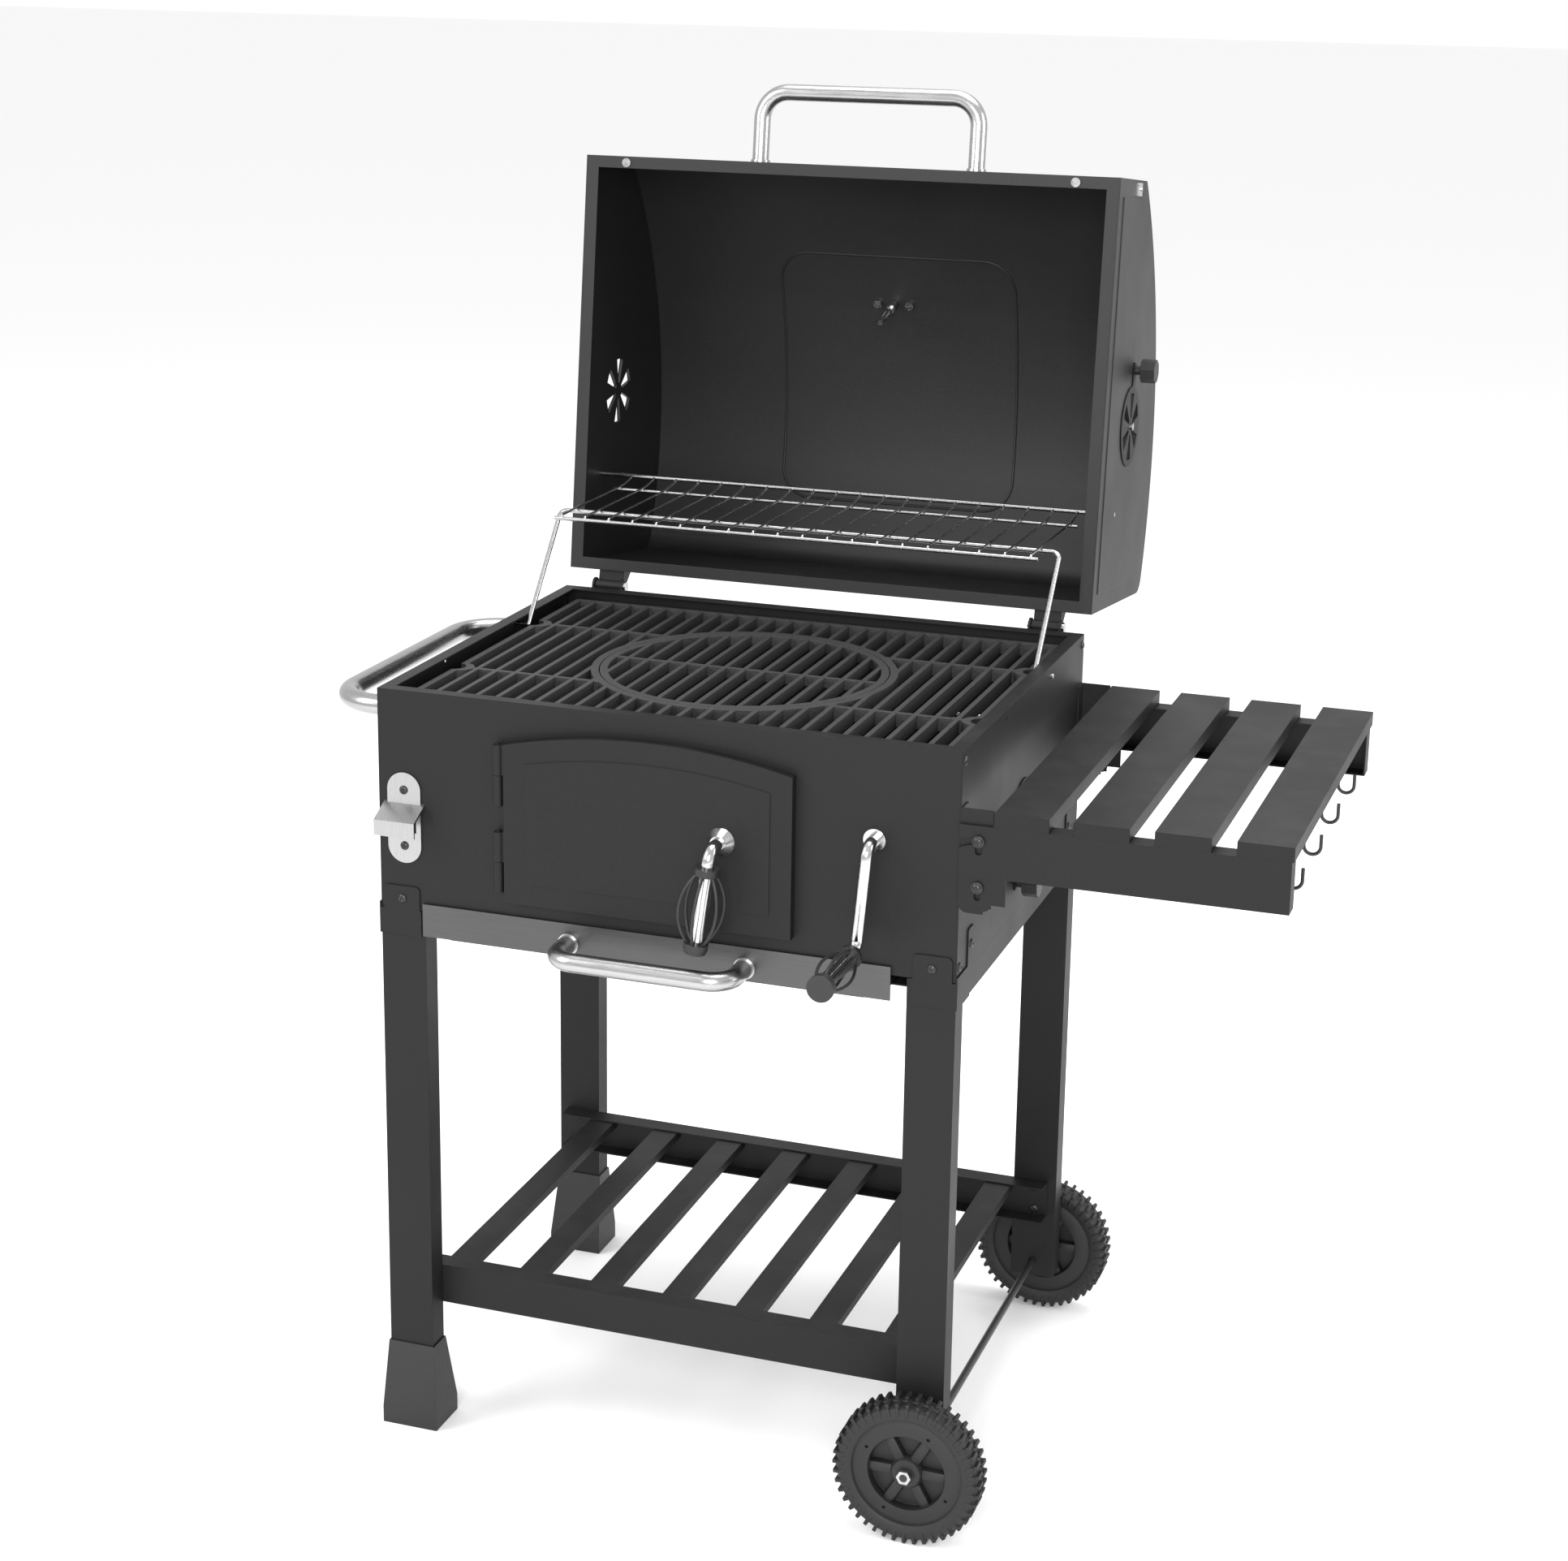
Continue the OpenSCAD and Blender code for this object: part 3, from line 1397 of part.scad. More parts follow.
// One rail of the side shelf at the front: channel, pivot plate, slot and lock notch
module side_rail() {
    y0 = yf - 3;
    x1 = side_x0 + side_len - 2;
    rail_x0 = side_x0 + 12;
    z1 = side_rail_top;
    z0 = z1 - side_rail_h;
    flange = 22;
    slot_r = side_screw_r + run_fit;
    difference() {
        union() {
            block([rail_x0, y0, z0], [x1, y0 + sheet_t, z1]);
            block([rail_x0, y0, z1 - sheet_t], [x1, y0 + flange, z1]);
            block([rail_x0, y0, z0], [x1, y0 + flange, z0 + sheet_t]);
            block([x1 - sheet_t, y0, z0], [x1, y0 + flange, z1]);
            along_y(y0, y0 + sheet_t) {
                translate([xr - 1, pivot_z - 16]) square([rail_x0 - xr + 2, z1 - pivot_z + 16]);
                translate([xr + 9, pivot_z - 16]) circle(r = 10);
                translate([xr + 24, pivot_z - 16]) circle(r = 7);
                translate([xr + 9, pivot_z - 26]) square([15, 12]);
            }
        }
        along_y(y0 - cut, y0 + sheet_t + cut) {
            translate([pivot_x, pivot_z]) circle(r = slot_r);
            translate([pivot_x, pivot_z - side_lift]) circle(r = slot_r);
            translate([pivot_x - slot_r, pivot_z - side_lift]) square([2 * slot_r, side_lift]);
            // Lock notch: the locking screw leaves it to the left as the shelf swings down
            translate([pivot_x, pivot_z]) difference() {
                circle(r = side_screw_gap + slot_r + 0.4, $fn = 96);
                circle(r = side_screw_gap - slot_r - 0.4, $fn = 96);
                translate([0, -100]) square([200, 200]);
                translate([-100, -200]) square([200, 200]);
            }
            translate([pivot_x, pivot_z + side_screw_gap]) circle(r = slot_r + 0.4);
            translate([pivot_x - slot_r - 0.4, pivot_z + side_screw_gap - side_lift])
                square([2 * slot_r + 0.8, side_lift]);
            translate([pivot_x, pivot_z + side_screw_gap - side_lift]) circle(r = slot_r + 0.4);
        }
    }
}

module side_rails() {
    color(black_paint) place() {
        side_rail();
        mirror([0, 1, 0]) side_rail();
    }
}

module side_slat_set() {
    pitch = (side_len - side_slat_w) / (side_slats - 1);
    color(black_paint) place() for (i = [0:side_slats - 1]) {
        x = side_x0 + i * pitch;
        difference() {
            block([x, yf - 3, side_rail_top], [x + side_slat_w, yb + 3, side_top]);
            block([x + sheet_t, yf - 3 + sheet_t, side_rail_top + sheet_t],
                [x + side_slat_w - sheet_t, yb + 3 - sheet_t, side_top - sheet_t]);
            block([x + 6, yf + 40, side_rail_top - cut], [x + side_slat_w - 6, yb - 40, side_rail_top + 2]);
        }
    }
}

module side_hooks() {
    x = side_x0 + side_len - hook_inset;
    z = side_rail_top - 32;
    r = hook_wire / 2;
    color(black_plastic) place() for (i = [0:hook_count - 1]) {
        y = yf + 45 + i * hook_pitch;
        translate([x, y, z]) cylinder(r = r, h = side_rail_top - z);
        translate([x + hook_r, y, z]) rotate([90, 0, 0]) rotate([0, 0, 180])
            rotate_extrude(angle = 180) translate([hook_r, 0]) circle(r = r, $fn = wire_fn);
        translate([x + hook_out, y, z]) cylinder(r = r, h = 12);
    }
}

firebox_front();
firebox_back();
firebox_left();
firebox_right();
black_screws();
leg_front_left();
leg_back_left();
leg_front_right();
leg_back_right();
leg_brackets();
foot_front_left();
foot_back_left();
rail_front();
rail_back();
bottom_slat_set();
side_skirts();
axle();
bright_hardware();
side_handle();
bottle_opener();
side_bracket_front();
side_bracket_back();
side_bracket_screws();
inner_brackets();
lid_hinge_brackets();
lid_hinge_pins();
door_hinge_fixed();
lid_shell();
lid_cap_left();
lid_cap_right();
lid_handle();
lid_fasteners();
lid_hinge_leaves();
thermometer_case();
thermometer_dial();
lid_damper_left();
lid_damper_knob_left();
lid_damper_right();
lid_damper_knob_right();
box_damper();
box_damper_knob();
warming_rack();
rack_legs();
door_panel();
door_hinge_moving();
door_handle_rod();
door_handle_cage();
crank_rod();
crank_cage();
coal_tray();
ash_pan();
ash_strip();
ash_handle();
cooking_grate();
grate_insert();
side_rails();
side_slat_set();
side_hooks();
wheel_front();
wheel_back();
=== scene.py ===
import json
import math
import bpy
from mathutils import Matrix, Vector


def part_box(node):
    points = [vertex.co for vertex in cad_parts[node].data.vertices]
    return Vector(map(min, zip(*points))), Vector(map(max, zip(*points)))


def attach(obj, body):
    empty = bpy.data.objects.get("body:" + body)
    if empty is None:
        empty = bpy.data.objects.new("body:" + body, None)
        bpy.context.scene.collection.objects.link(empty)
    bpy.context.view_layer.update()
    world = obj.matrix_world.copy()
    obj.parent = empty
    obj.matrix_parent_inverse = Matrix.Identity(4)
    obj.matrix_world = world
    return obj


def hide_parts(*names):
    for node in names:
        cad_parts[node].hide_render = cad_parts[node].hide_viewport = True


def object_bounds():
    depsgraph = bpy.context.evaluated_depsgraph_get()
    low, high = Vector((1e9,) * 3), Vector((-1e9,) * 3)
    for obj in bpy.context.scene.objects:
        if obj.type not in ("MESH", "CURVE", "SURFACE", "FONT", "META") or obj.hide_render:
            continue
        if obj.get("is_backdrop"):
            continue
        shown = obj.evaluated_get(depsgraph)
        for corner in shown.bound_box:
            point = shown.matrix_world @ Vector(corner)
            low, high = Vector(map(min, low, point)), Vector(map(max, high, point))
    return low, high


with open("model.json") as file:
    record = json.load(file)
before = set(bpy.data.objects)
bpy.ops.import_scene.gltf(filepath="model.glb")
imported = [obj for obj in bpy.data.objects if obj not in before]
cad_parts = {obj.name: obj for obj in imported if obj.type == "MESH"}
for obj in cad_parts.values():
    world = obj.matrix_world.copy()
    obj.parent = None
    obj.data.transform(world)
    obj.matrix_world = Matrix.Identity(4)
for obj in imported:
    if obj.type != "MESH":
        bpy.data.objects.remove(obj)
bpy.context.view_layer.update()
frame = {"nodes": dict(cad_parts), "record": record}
nodes = frame["nodes"]

# ------------------------------------------------------------------ where things are
# The firebox is square to the row frame, so its panels give the middle of the trolley's body.
left_low, left_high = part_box("firebox_left")
right_low, right_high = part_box("firebox_right")
mid_x = (left_low.x + right_high.x) / 2
half_w = (right_high.x - left_low.x) / 2
front_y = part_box("firebox_front")[0].y
back_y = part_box("firebox_back")[1].y
mid_y = (front_y + back_y) / 2
rim_z = right_high.z
base_z = right_low.z


def mm(x, y, z):
    """A point given in millimetres from the firebox's middle, with its height above the ground."""
    return Vector((mid_x + x / 1000, mid_y + y / 1000, z / 1000))


# ------------------------------------------------------------------ shader groups
def new_group(name, inputs, outputs):
    g = bpy.data.node_groups.new(name, "ShaderNodeTree")
    for label, kind, value in inputs:
        s = g.interface.new_socket(name=label, in_out="INPUT", socket_type=kind)
        if value is not None:
            s.default_value = value
    for label, kind in outputs:
        g.interface.new_socket(name=label, in_out="OUTPUT", socket_type=kind)
    return g, g.nodes.new("NodeGroupInput"), g.nodes.new("NodeGroupOutput")


def math_node(tree, op, a, b=None, clamp=False):
    n = tree.nodes.new("ShaderNodeMath")
    n.operation = op
    n.use_clamp = clamp
    for i, v in enumerate((a, b)):
        if v is None:
            continue
        if isinstance(v, (int, float)):
            n.inputs[i].default_value = v
        else:
            tree.links.new(v, n.inputs[i])
    return n.outputs[0]


def noise(tree, where, scale, detail=3.0, rough=0.55):
    n = tree.nodes.new("ShaderNodeTexNoise")
    n.inputs["Scale"].default_value = scale
    n.inputs["Detail"].default_value = detail
    n.inputs["Roughness"].default_value = rough
    tree.links.new(where, n.inputs["Vector"])
    return n.outputs["Fac"]


def spread(tree, value, low, high):
    n = tree.nodes.new("ShaderNodeMapRange")
    n.inputs["From Min"].default_value = low
    n.inputs["From Max"].default_value = high
    tree.links.new(value, n.inputs["Value"])
    return n.outputs["Result"]


def fine_grain_group():
    """Pimples of a baked powder coat, with slow patches of thicker and thinner coat."""
    g, i, o = new_group(
        "Fine grain",
        [("Vector", "NodeSocketVector", None)],
        [("Height", "NodeSocketFloat"), ("Speck", "NodeSocketFloat"), ("Patch", "NodeSocketFloat")],
    )
    pimples = noise(g, i.outputs["Vector"], 950.0, 2.0)
    coarse = noise(g, i.outputs["Vector"], 380.0, 2.0)
    height = math_node(g, "ADD", pimples, math_node(g, "MULTIPLY", coarse, 0.5))
    g.links.new(height, o.inputs["Height"])
    g.links.new(spread(g, noise(g, i.outputs["Vector"], 620.0, 2.0), 0.3, 0.7), o.inputs["Speck"])
    g.links.new(spread(g, noise(g, i.outputs["Vector"], 5.0, 4.0), 0.3, 0.7), o.inputs["Patch"])
    return g


def edge_group():
    """Soft edges: a rounded normal, and a mask that is high on edges and corners, broken up by noise; the
    mask paints a highlight on them.
    """
    g, i, o = new_group(
        "Soft edges",
        [("Vector", "NodeSocketVector", None)],
        [("Normal", "NodeSocketVector"), ("Painted edge highlight", "NodeSocketFloat")],
    )
    bevel = g.nodes.new("ShaderNodeBevel")
    bevel.samples = 4
    bevel.inputs["Radius"].default_value = 0.0009
    geo = g.nodes.new("ShaderNodeNewGeometry")
    dot = g.nodes.new("ShaderNodeVectorMath")
    dot.operation = "DOT_PRODUCT"
    g.links.new(bevel.outputs["Normal"], dot.inputs[0])
    g.links.new(geo.outputs["Normal"], dot.inputs[1])
    # Edge mask, used as a painted highlight along edges and corners.
    edge = spread(g, math_node(g, "SUBTRACT", 1.0, dot.outputs["Value"]), 0.02, 0.25)
    broken = spread(g, noise(g, i.outputs["Vector"], 60.0, 4.0), 0.42, 0.62)
    g.links.new(math_node(g, "MULTIPLY", edge, broken, True), o.inputs["Painted edge highlight"])
    g.links.new(bevel.outputs["Normal"], o.inputs["Normal"])
    return g


def brush_group():
    """Long fine scratches along one axis, set by the scale of the coordinates."""
    g, i, o = new_group(
        "Brushed lines",
        [("Vector", "NodeSocketVector", None)],
        [("Lines", "NodeSocketFloat"), ("Smudge", "NodeSocketFloat")],
    )
    g.links.new(spread(g, noise(g, i.outputs["Vector"], 1.0, 6.0, 0.7), 0.3, 0.7), o.inputs["Lines"])
    g.links.new(spread(g, noise(g, i.outputs["Vector"], 0.02, 3.0), 0.35, 0.65), o.inputs["Smudge"])
    return g


def cast_group():
    """Pits and sand marks of a rough casting."""
    g, i, o = new_group(
        "Sand casting",
        [("Vector", "NodeSocketVector", None)],
        [("Height", "NodeSocketFloat"), ("Pit", "NodeSocketFloat")],
    )
    lumps = noise(g, i.outputs["Vector"], 260.0, 5.0, 0.65)
    cell = g.nodes.new("ShaderNodeTexVoronoi")
    cell.inputs["Scale"].default_value = 420.0
    g.links.new(i.outputs["Vector"], cell.inputs["Vector"])
    pit = spread(g, cell.outputs["Distance"], 0.05, 0.45)
    g.links.new(math_node(g, "ADD", lumps, math_node(g, "MULTIPLY", pit, 0.35)), o.inputs["Height"])
    g.links.new(pit, o.inputs["Pit"])
    return g


def dust_group():
    """Light dust that settles on faces that look up."""
    g, i, o = new_group("Settled dust", [("Vector", "NodeSocketVector", None)], [("Dust", "NodeSocketFloat")])
    geo = g.nodes.new("ShaderNodeNewGeometry")
    split = g.nodes.new("ShaderNodeSeparateXYZ")
    g.links.new(geo.outputs["Normal"], split.inputs[0])
    up = spread(g, split.outputs["Z"], 0.5, 1.0)
    patches = spread(g, noise(g, i.outputs["Vector"], 24.0, 6.0, 0.7), 0.45, 0.75)
    g.links.new(
        math_node(g, "MULTIPLY", up, patches, True),
        o.inputs["Dust"],
    )
    return g


grain = fine_grain_group()
soft_edges = edge_group()
brushed_lines = brush_group()
sand = cast_group()
dust = dust_group()


# ------------------------------------------------------------------ materials
def material(name):
    m = bpy.data.materials.new(name)
    m.use_nodes = True
    t = m.node_tree
    shader = next(n for n in t.nodes if n.type == "BSDF_PRINCIPLED")
    coords = t.nodes.new("ShaderNodeTexCoord")
    return m, t, shader, coords.outputs["Object"]


def use_group(tree, group, where):
    n = tree.nodes.new("ShaderNodeGroup")
    n.node_tree = group
    tree.links.new(where, n.inputs["Vector"])
    return n.outputs


def mix_colour(tree, fac, a, b):
    n = tree.nodes.new("ShaderNodeMix")
    n.data_type = "RGBA"
    for socket, v in ((n.inputs[6], a), (n.inputs[7], b)):
        if isinstance(v, (int, float)):
            socket.default_value = (v, v, v, 1)
        elif isinstance(v, tuple):
            socket.default_value = (*v, 1)
        else:
            tree.links.new(v, socket)
    if isinstance(fac, (int, float)):
        n.inputs[0].default_value = fac
    else:
        tree.links.new(fac, n.inputs[0])
    return n.outputs[2]


def bump(tree, height, strength, distance, normal=None):
    n = tree.nodes.new("ShaderNodeBump")
    n.inputs["Strength"].default_value = strength
    n.inputs["Distance"].default_value = distance
    tree.links.new(height, n.inputs["Height"])
    if normal is not None:
        tree.links.new(normal, n.inputs["Normal"])
    return n.outputs["Normal"]


def stretched(tree, where, scale):
    n = tree.nodes.new("ShaderNodeMapping")
    n.inputs["Scale"].default_value = scale
    tree.links.new(where, n.inputs["Vector"])
    return n.outputs["Vector"]


def blend_value(tree, low, high, fac):
    return math_node(tree, "ADD", low, math_node(tree, "MULTIPLY", fac, high - low))


def powder_coat(name, tone, rough=0.46, edges=True, specular=0.5):
    m, t, s, where = material(name)
    g = use_group(t, grain, where)
    d = use_group(t, dust, where)
    colour = mix_colour(t, g["Speck"], tone * 0.86, tone * 1.2)
    colour = mix_colour(t, math_node(t, "MULTIPLY", g["Patch"], 0.25), colour, tone * 1.25)
    normal = None
    if edges:
        e = use_group(t, soft_edges, where)
        normal = e["Normal"]
        # Painted highlight: edges and corners are lightened towards 2.6 times the tone.
        colour = mix_colour(t, math_node(t, "MULTIPLY", e["Painted edge highlight"], 0.35), colour, tone * 2.6)
    colour = mix_colour(t, math_node(t, "MULTIPLY", d["Dust"], 0.05), colour, 0.16)
    t.links.new(colour, s.inputs["Base Color"])
    t.links.new(blend_value(t, rough - 0.05, rough + 0.08, g["Patch"]), s.inputs["Roughness"])
    t.links.new(bump(t, g["Height"], 0.32, 0.00022, normal), s.inputs["Normal"])
    s.inputs["Specular IOR Level"].default_value = specular
    return m


def cast_iron(name):
    m, t, s, where = material(name)
    g = use_group(t, sand, where)
    e = use_group(t, soft_edges, where)
    colour = mix_colour(t, g["Pit"], 0.008, 0.02)
    # Painted highlight: edges and corners are lightened towards 0.09.
    colour = mix_colour(t, math_node(t, "MULTIPLY", e["Painted edge highlight"], 0.5), colour, 0.09)
    t.links.new(colour, s.inputs["Base Color"])
    t.links.new(blend_value(t, 0.42, 0.62, g["Pit"]), s.inputs["Roughness"])
    t.links.new(bump(t, g["Height"], 0.55, 0.0006, e["Normal"]), s.inputs["Normal"])
    return m


def moulded_plastic(name, tone, rough):
    m, t, s, where = material(name)
    g = use_group(t, grain, where)
    e = use_group(t, soft_edges, where)
    colour = mix_colour(t, g["Patch"], tone * 0.85, tone * 1.25)
    # Painted highlight: edges and corners are lightened towards 2.4 times the tone.
    colour = mix_colour(t, math_node(t, "MULTIPLY", e["Painted edge highlight"], 0.3), colour, tone * 2.4)
    t.links.new(colour, s.inputs["Base Color"])
    t.links.new(blend_value(t, rough - 0.05, rough + 0.1, g["Speck"]), s.inputs["Roughness"])
    t.links.new(bump(t, g["Height"], 0.22, 0.00018, e["Normal"]), s.inputs["Normal"])
    return m


def steel(name, tone, rough, along, line_depth, wear=0.1):
    """Bare steel with lines; along is the scale of the lines on each axis."""
    m, t, s, where = material(name)
    lines = use_group(t, brushed_lines, stretched(t, where, along))
    slow = use_group(t, grain, where)
    colour = mix_colour(t, lines["Lines"], tone * 0.82, tone * 1.1)
    colour = mix_colour(t, math_node(t, "MULTIPLY", slow["Patch"], wear), colour, tone * 0.55)
    t.links.new(colour, s.inputs["Base Color"])
    s.inputs["Metallic"].default_value = 1.0
    t.links.new(blend_value(t, rough - 0.05, rough + 0.1, lines["Lines"]), s.inputs["Roughness"])
    t.links.new(bump(t, lines["Lines"], line_depth, 0.00006), s.inputs["Normal"])
    return m


def dial_face(name, centre, normal, up):
    """A white dial with a ring of ticks, drawn from the distance and angle round its middle."""
    m, t, s, where = material(name)
    side = normal.cross(up)
    parts = []
    for axis in (side, up):
        sub = t.nodes.new("ShaderNodeVectorMath")
        sub.operation = "SUBTRACT"
        t.links.new(where, sub.inputs[0])
        sub.inputs[1].default_value = centre
        dot = t.nodes.new("ShaderNodeVectorMath")
        dot.operation = "DOT_PRODUCT"
        t.links.new(sub.outputs[0], dot.inputs[0])
        dot.inputs[1].default_value = axis
        parts.append(dot.outputs["Value"])
    squares = [math_node(t, "POWER", part, 2) for part in parts]
    r = math_node(t, "SQRT", math_node(t, "ADD", *squares))
    angle = math_node(t, "ARCTAN2", parts[0], parts[1])
    turn = math_node(t, "PINGPONG", angle, math.pi / 24)
    tick = math_node(t, "LESS_THAN", turn, 0.03)
    band = math_node(
        t, "MULTIPLY", math_node(t, "GREATER_THAN", r, 0.020), math_node(t, "LESS_THAN", r, 0.0245)
    )
    ring = math_node(
        t, "MULTIPLY", math_node(t, "GREATER_THAN", r, 0.0175), math_node(t, "LESS_THAN", r, 0.0182)
    )
    ink = math_node(t, "MAXIMUM", math_node(t, "MULTIPLY", tick, band), ring, True)
    slow = use_group(t, grain, where)
    paper = mix_colour(t, slow["Patch"], 0.7, 0.8)
    t.links.new(mix_colour(t, ink, paper, 0.03), s.inputs["Base Color"])
    s.inputs["Roughness"].default_value = 0.35
    return m


black_paint = powder_coat("Black powder coat", 0.0075, 0.5, specular=0.22)
lid_paint = powder_coat("Lid powder coat", 0.013, 0.46, specular=0.3)
wire_black = powder_coat("Black wire coat", 0.012, 0.36, False)
plastic = moulded_plastic("Black moulded plastic", 0.0075, 0.46)
tyre_rubber = moulded_plastic("Wheel plastic", 0.004, 0.55)
screw_black = moulded_plastic("Black plated screws", 0.010, 0.3)
iron = cast_iron("Rough cast iron")
strip_steel = steel("Brushed strip", 0.10, 0.38, (30, 900, 2400), 0.5, 0.2)
tube_x = steel("Brushed tube across", 0.42, 0.24, (25, 1300, 1300), 0.3)
tube_y = steel("Brushed tube front to back", 0.40, 0.24, (1300, 25, 1300), 0.3)
opener_steel = steel("Brushed opener", 0.40, 0.28, (2200, 900, 40), 0.4)
bright = steel("Bright plated steel", 0.52, 0.14, (300, 300, 300), 0.15)
wire_bright = steel("Bright wire", 0.45, 0.2, (500, 500, 500), 0.2)

slot_finish = {
    "fine_black_paint": black_paint,
    "black_zinc": screw_black,
    "black_plastic": plastic,
    "bright_plated_steel": bright,
    "brushed_stainless": tube_x,
    "rough_cast_iron": iron,
    "dial_white": plastic,
}
node_finish = {
    "lid_shell": lid_paint,
    "lid_cap_left": lid_paint,
    "lid_cap_right": lid_paint,
    "side_hooks": wire_black,
    "axle": wire_black,
    "ash_strip": strip_steel,
    "side_handle": tube_y,
    "bottle_opener": opener_steel,
    "warming_rack": wire_bright,
    "rack_legs": wire_bright,
}
slot_of = {row["node"]: row["material_slot"] for row in frame["record"]["subparts"]}


def paint_object(obj, finish):
    obj.data.materials.clear()
    obj.data.materials.append(finish)


for name, obj in nodes.items():
    finish = node_finish.get(name, slot_finish[slot_of[name]])
    for s in obj.material_slots:
        s.material = finish
    if not obj.material_slots:
        obj.data.materials.append(finish)


# ------------------------------------------------------------------ modelling helpers
def deselect():
    if bpy.context.object and bpy.context.object.mode != "OBJECT":
        bpy.ops.object.mode_set(mode="OBJECT")
    bpy.ops.object.select_all(action="DESELECT")


def only(obj):
    deselect()
    obj.select_set(True)
    bpy.context.view_layer.objects.active = obj


def settle(obj, name):
    """Puts the object's place into its mesh and leaves the object at the origin."""
    only(obj)
    bpy.ops.object.transform_apply(location=True, rotation=True, scale=True)
    obj.name = name
    return obj


def outward(obj):
    only(obj)
    bpy.ops.object.mode_set(mode="EDIT")
    bpy.ops.mesh.select_all(action="SELECT")
    bpy.ops.mesh.remove_doubles(threshold=0.00001)
    bpy.ops.mesh.normals_make_consistent(inside=False)
    bpy.ops.object.mode_set(mode="OBJECT")


def smooth(obj, angle=35):
    only(obj)
    bpy.ops.object.shade_smooth_by_angle(angle=math.radians(angle))


def join(objs, name):
    deselect()
    for o in objs:
        o.select_set(True)
    bpy.context.view_layer.objects.active = objs[0]
    bpy.ops.object.join()
    objs[0].name = name
    return objs[0]


def lathe(name, outline, steps=72):
    """Turns a closed outline of (radius, depth) round the Y axis through the origin."""
    deselect()
    bpy.ops.mesh.primitive_plane_add(size=0.01, location=(0, 0, 0))
    o = bpy.context.object
    bpy.ops.object.mode_set(mode="EDIT")
    bpy.ops.mesh.select_all(action="SELECT")
    bpy.ops.mesh.merge(type="CENTER")
    bpy.ops.mesh.select_all(action="SELECT")
    r, y = outline[0]
    bpy.ops.transform.translate(value=(r, y, 0))
    for r2, y2 in list(outline[1:]) + [outline[0]]:
        bpy.ops.mesh.extrude_vertices_move(TRANSFORM_OT_translate={"value": (r2 - r, y2 - y, 0)})
        r, y = r2, y2
    bpy.ops.mesh.select_all(action="SELECT")
    bpy.ops.mesh.spin(steps=steps, angle=2 * math.pi, center=(0, 0, 0), axis=(0, 1, 0))
    bpy.ops.object.mode_set(mode="OBJECT")
    outward(o)
    o.name = name
    return o


def block(name, low, high, soften=0.0):
    """A box from its low corner to its high corner, with softened edges."""
    low, high = Vector(low), Vector(high)
    deselect()
    bpy.ops.mesh.primitive_cube_add(size=1, location=(low + high) / 2)
    o = bpy.context.object
    o.scale = high - low
    settle(o, name)
    if soften:
        only(o)
        bpy.ops.object.mode_set(mode="EDIT")
        bpy.ops.mesh.select_all(action="SELECT")
        bpy.ops.mesh.bevel(offset=soften, segments=2, affect="EDGES")
        bpy.ops.object.mode_set(mode="OBJECT")
    return o


def ring_of(obj, count, axis=(0, 1, 0)):
    """Copies what is in the mesh round an axis through the origin."""
    only(obj)
    bpy.ops.object.mode_set(mode="EDIT")
    bpy.ops.mesh.select_all(action="SELECT")
    bpy.ops.mesh.spin(steps=count, angle=2 * math.pi, dupli=True, center=(0, 0, 0), axis=axis)
    bpy.ops.mesh.select_all(action="SELECT")
    bpy.ops.mesh.remove_doubles(threshold=0.00001)
    bpy.ops.object.mode_set(mode="OBJECT")
    return obj


def cut_away(obj, tool):
    only(obj)
    m = obj.modifiers.new("Cut", "BOOLEAN")
    m.operation = "DIFFERENCE"
    m.object = tool
    m.solver = "EXACT"
    bpy.ops.object.modifier_apply(modifier=m.name)
    bpy.data.objects.remove(tool, do_unlink=True)
    return obj


def wire(name, points, radius, closed=False, sides=4):
    """A round wire through points, with sharp corners where the points bend."""
    deselect()
    bpy.ops.curve.primitive_bezier_curve_add(location=(0, 0, 0))
    o = bpy.context.object
    c = o.data
    c.splines.clear()
    c.dimensions = "3D"
    spline = c.splines.new("POLY")
    spline.points.add(len(points) - 1)
    for p, q in zip(spline.points, points):
        p.co = (*q, 1)
    spline.use_cyclic_u = closed
    c.bevel_depth = radius
    c.bevel_resolution = sides
    c.use_fill_caps = not closed
    only(o)
    bpy.ops.object.convert(target="MESH")
    o = bpy.context.object
    outward(o)
    o.name = name
    return o


def rounded(points, r, steps=5):
    """The same path with each inner corner turned into a short arc of radius r."""
    out = [Vector(points[0])]
    for a, b, c in zip(points, points[1:], points[2:]):
        a, b, c = Vector(a), Vector(b), Vector(c)
        u, v = (a - b), (c - b)
        k = min(r, u.length / 2.01, v.length / 2.01)
        p, q = b + u.normalized() * k, b + v.normalized() * k
        for i in range(steps + 1):
            f = i / steps
            out.append(p.lerp(b, f).lerp(b.lerp(q, f), f))
    out.append(Vector(points[-1]))
    return out


def moved(obj, matrix):
    obj.data.transform(matrix)
    obj.data.update()
    return obj


def copy_of(obj, matrix, name):
    o = obj.copy()
    o.data = obj.data.copy()
    bpy.context.scene.collection.objects.link(o)
    o.name = name
    moved(o, matrix)
    return o


def facing(point, direction):
    """A transform that takes -Y to direction and the origin to point."""
    q = Vector((0, -1, 0)).rotation_difference(Vector(direction))
    return Matrix.Translation(point) @ q.to_matrix().to_4x4()


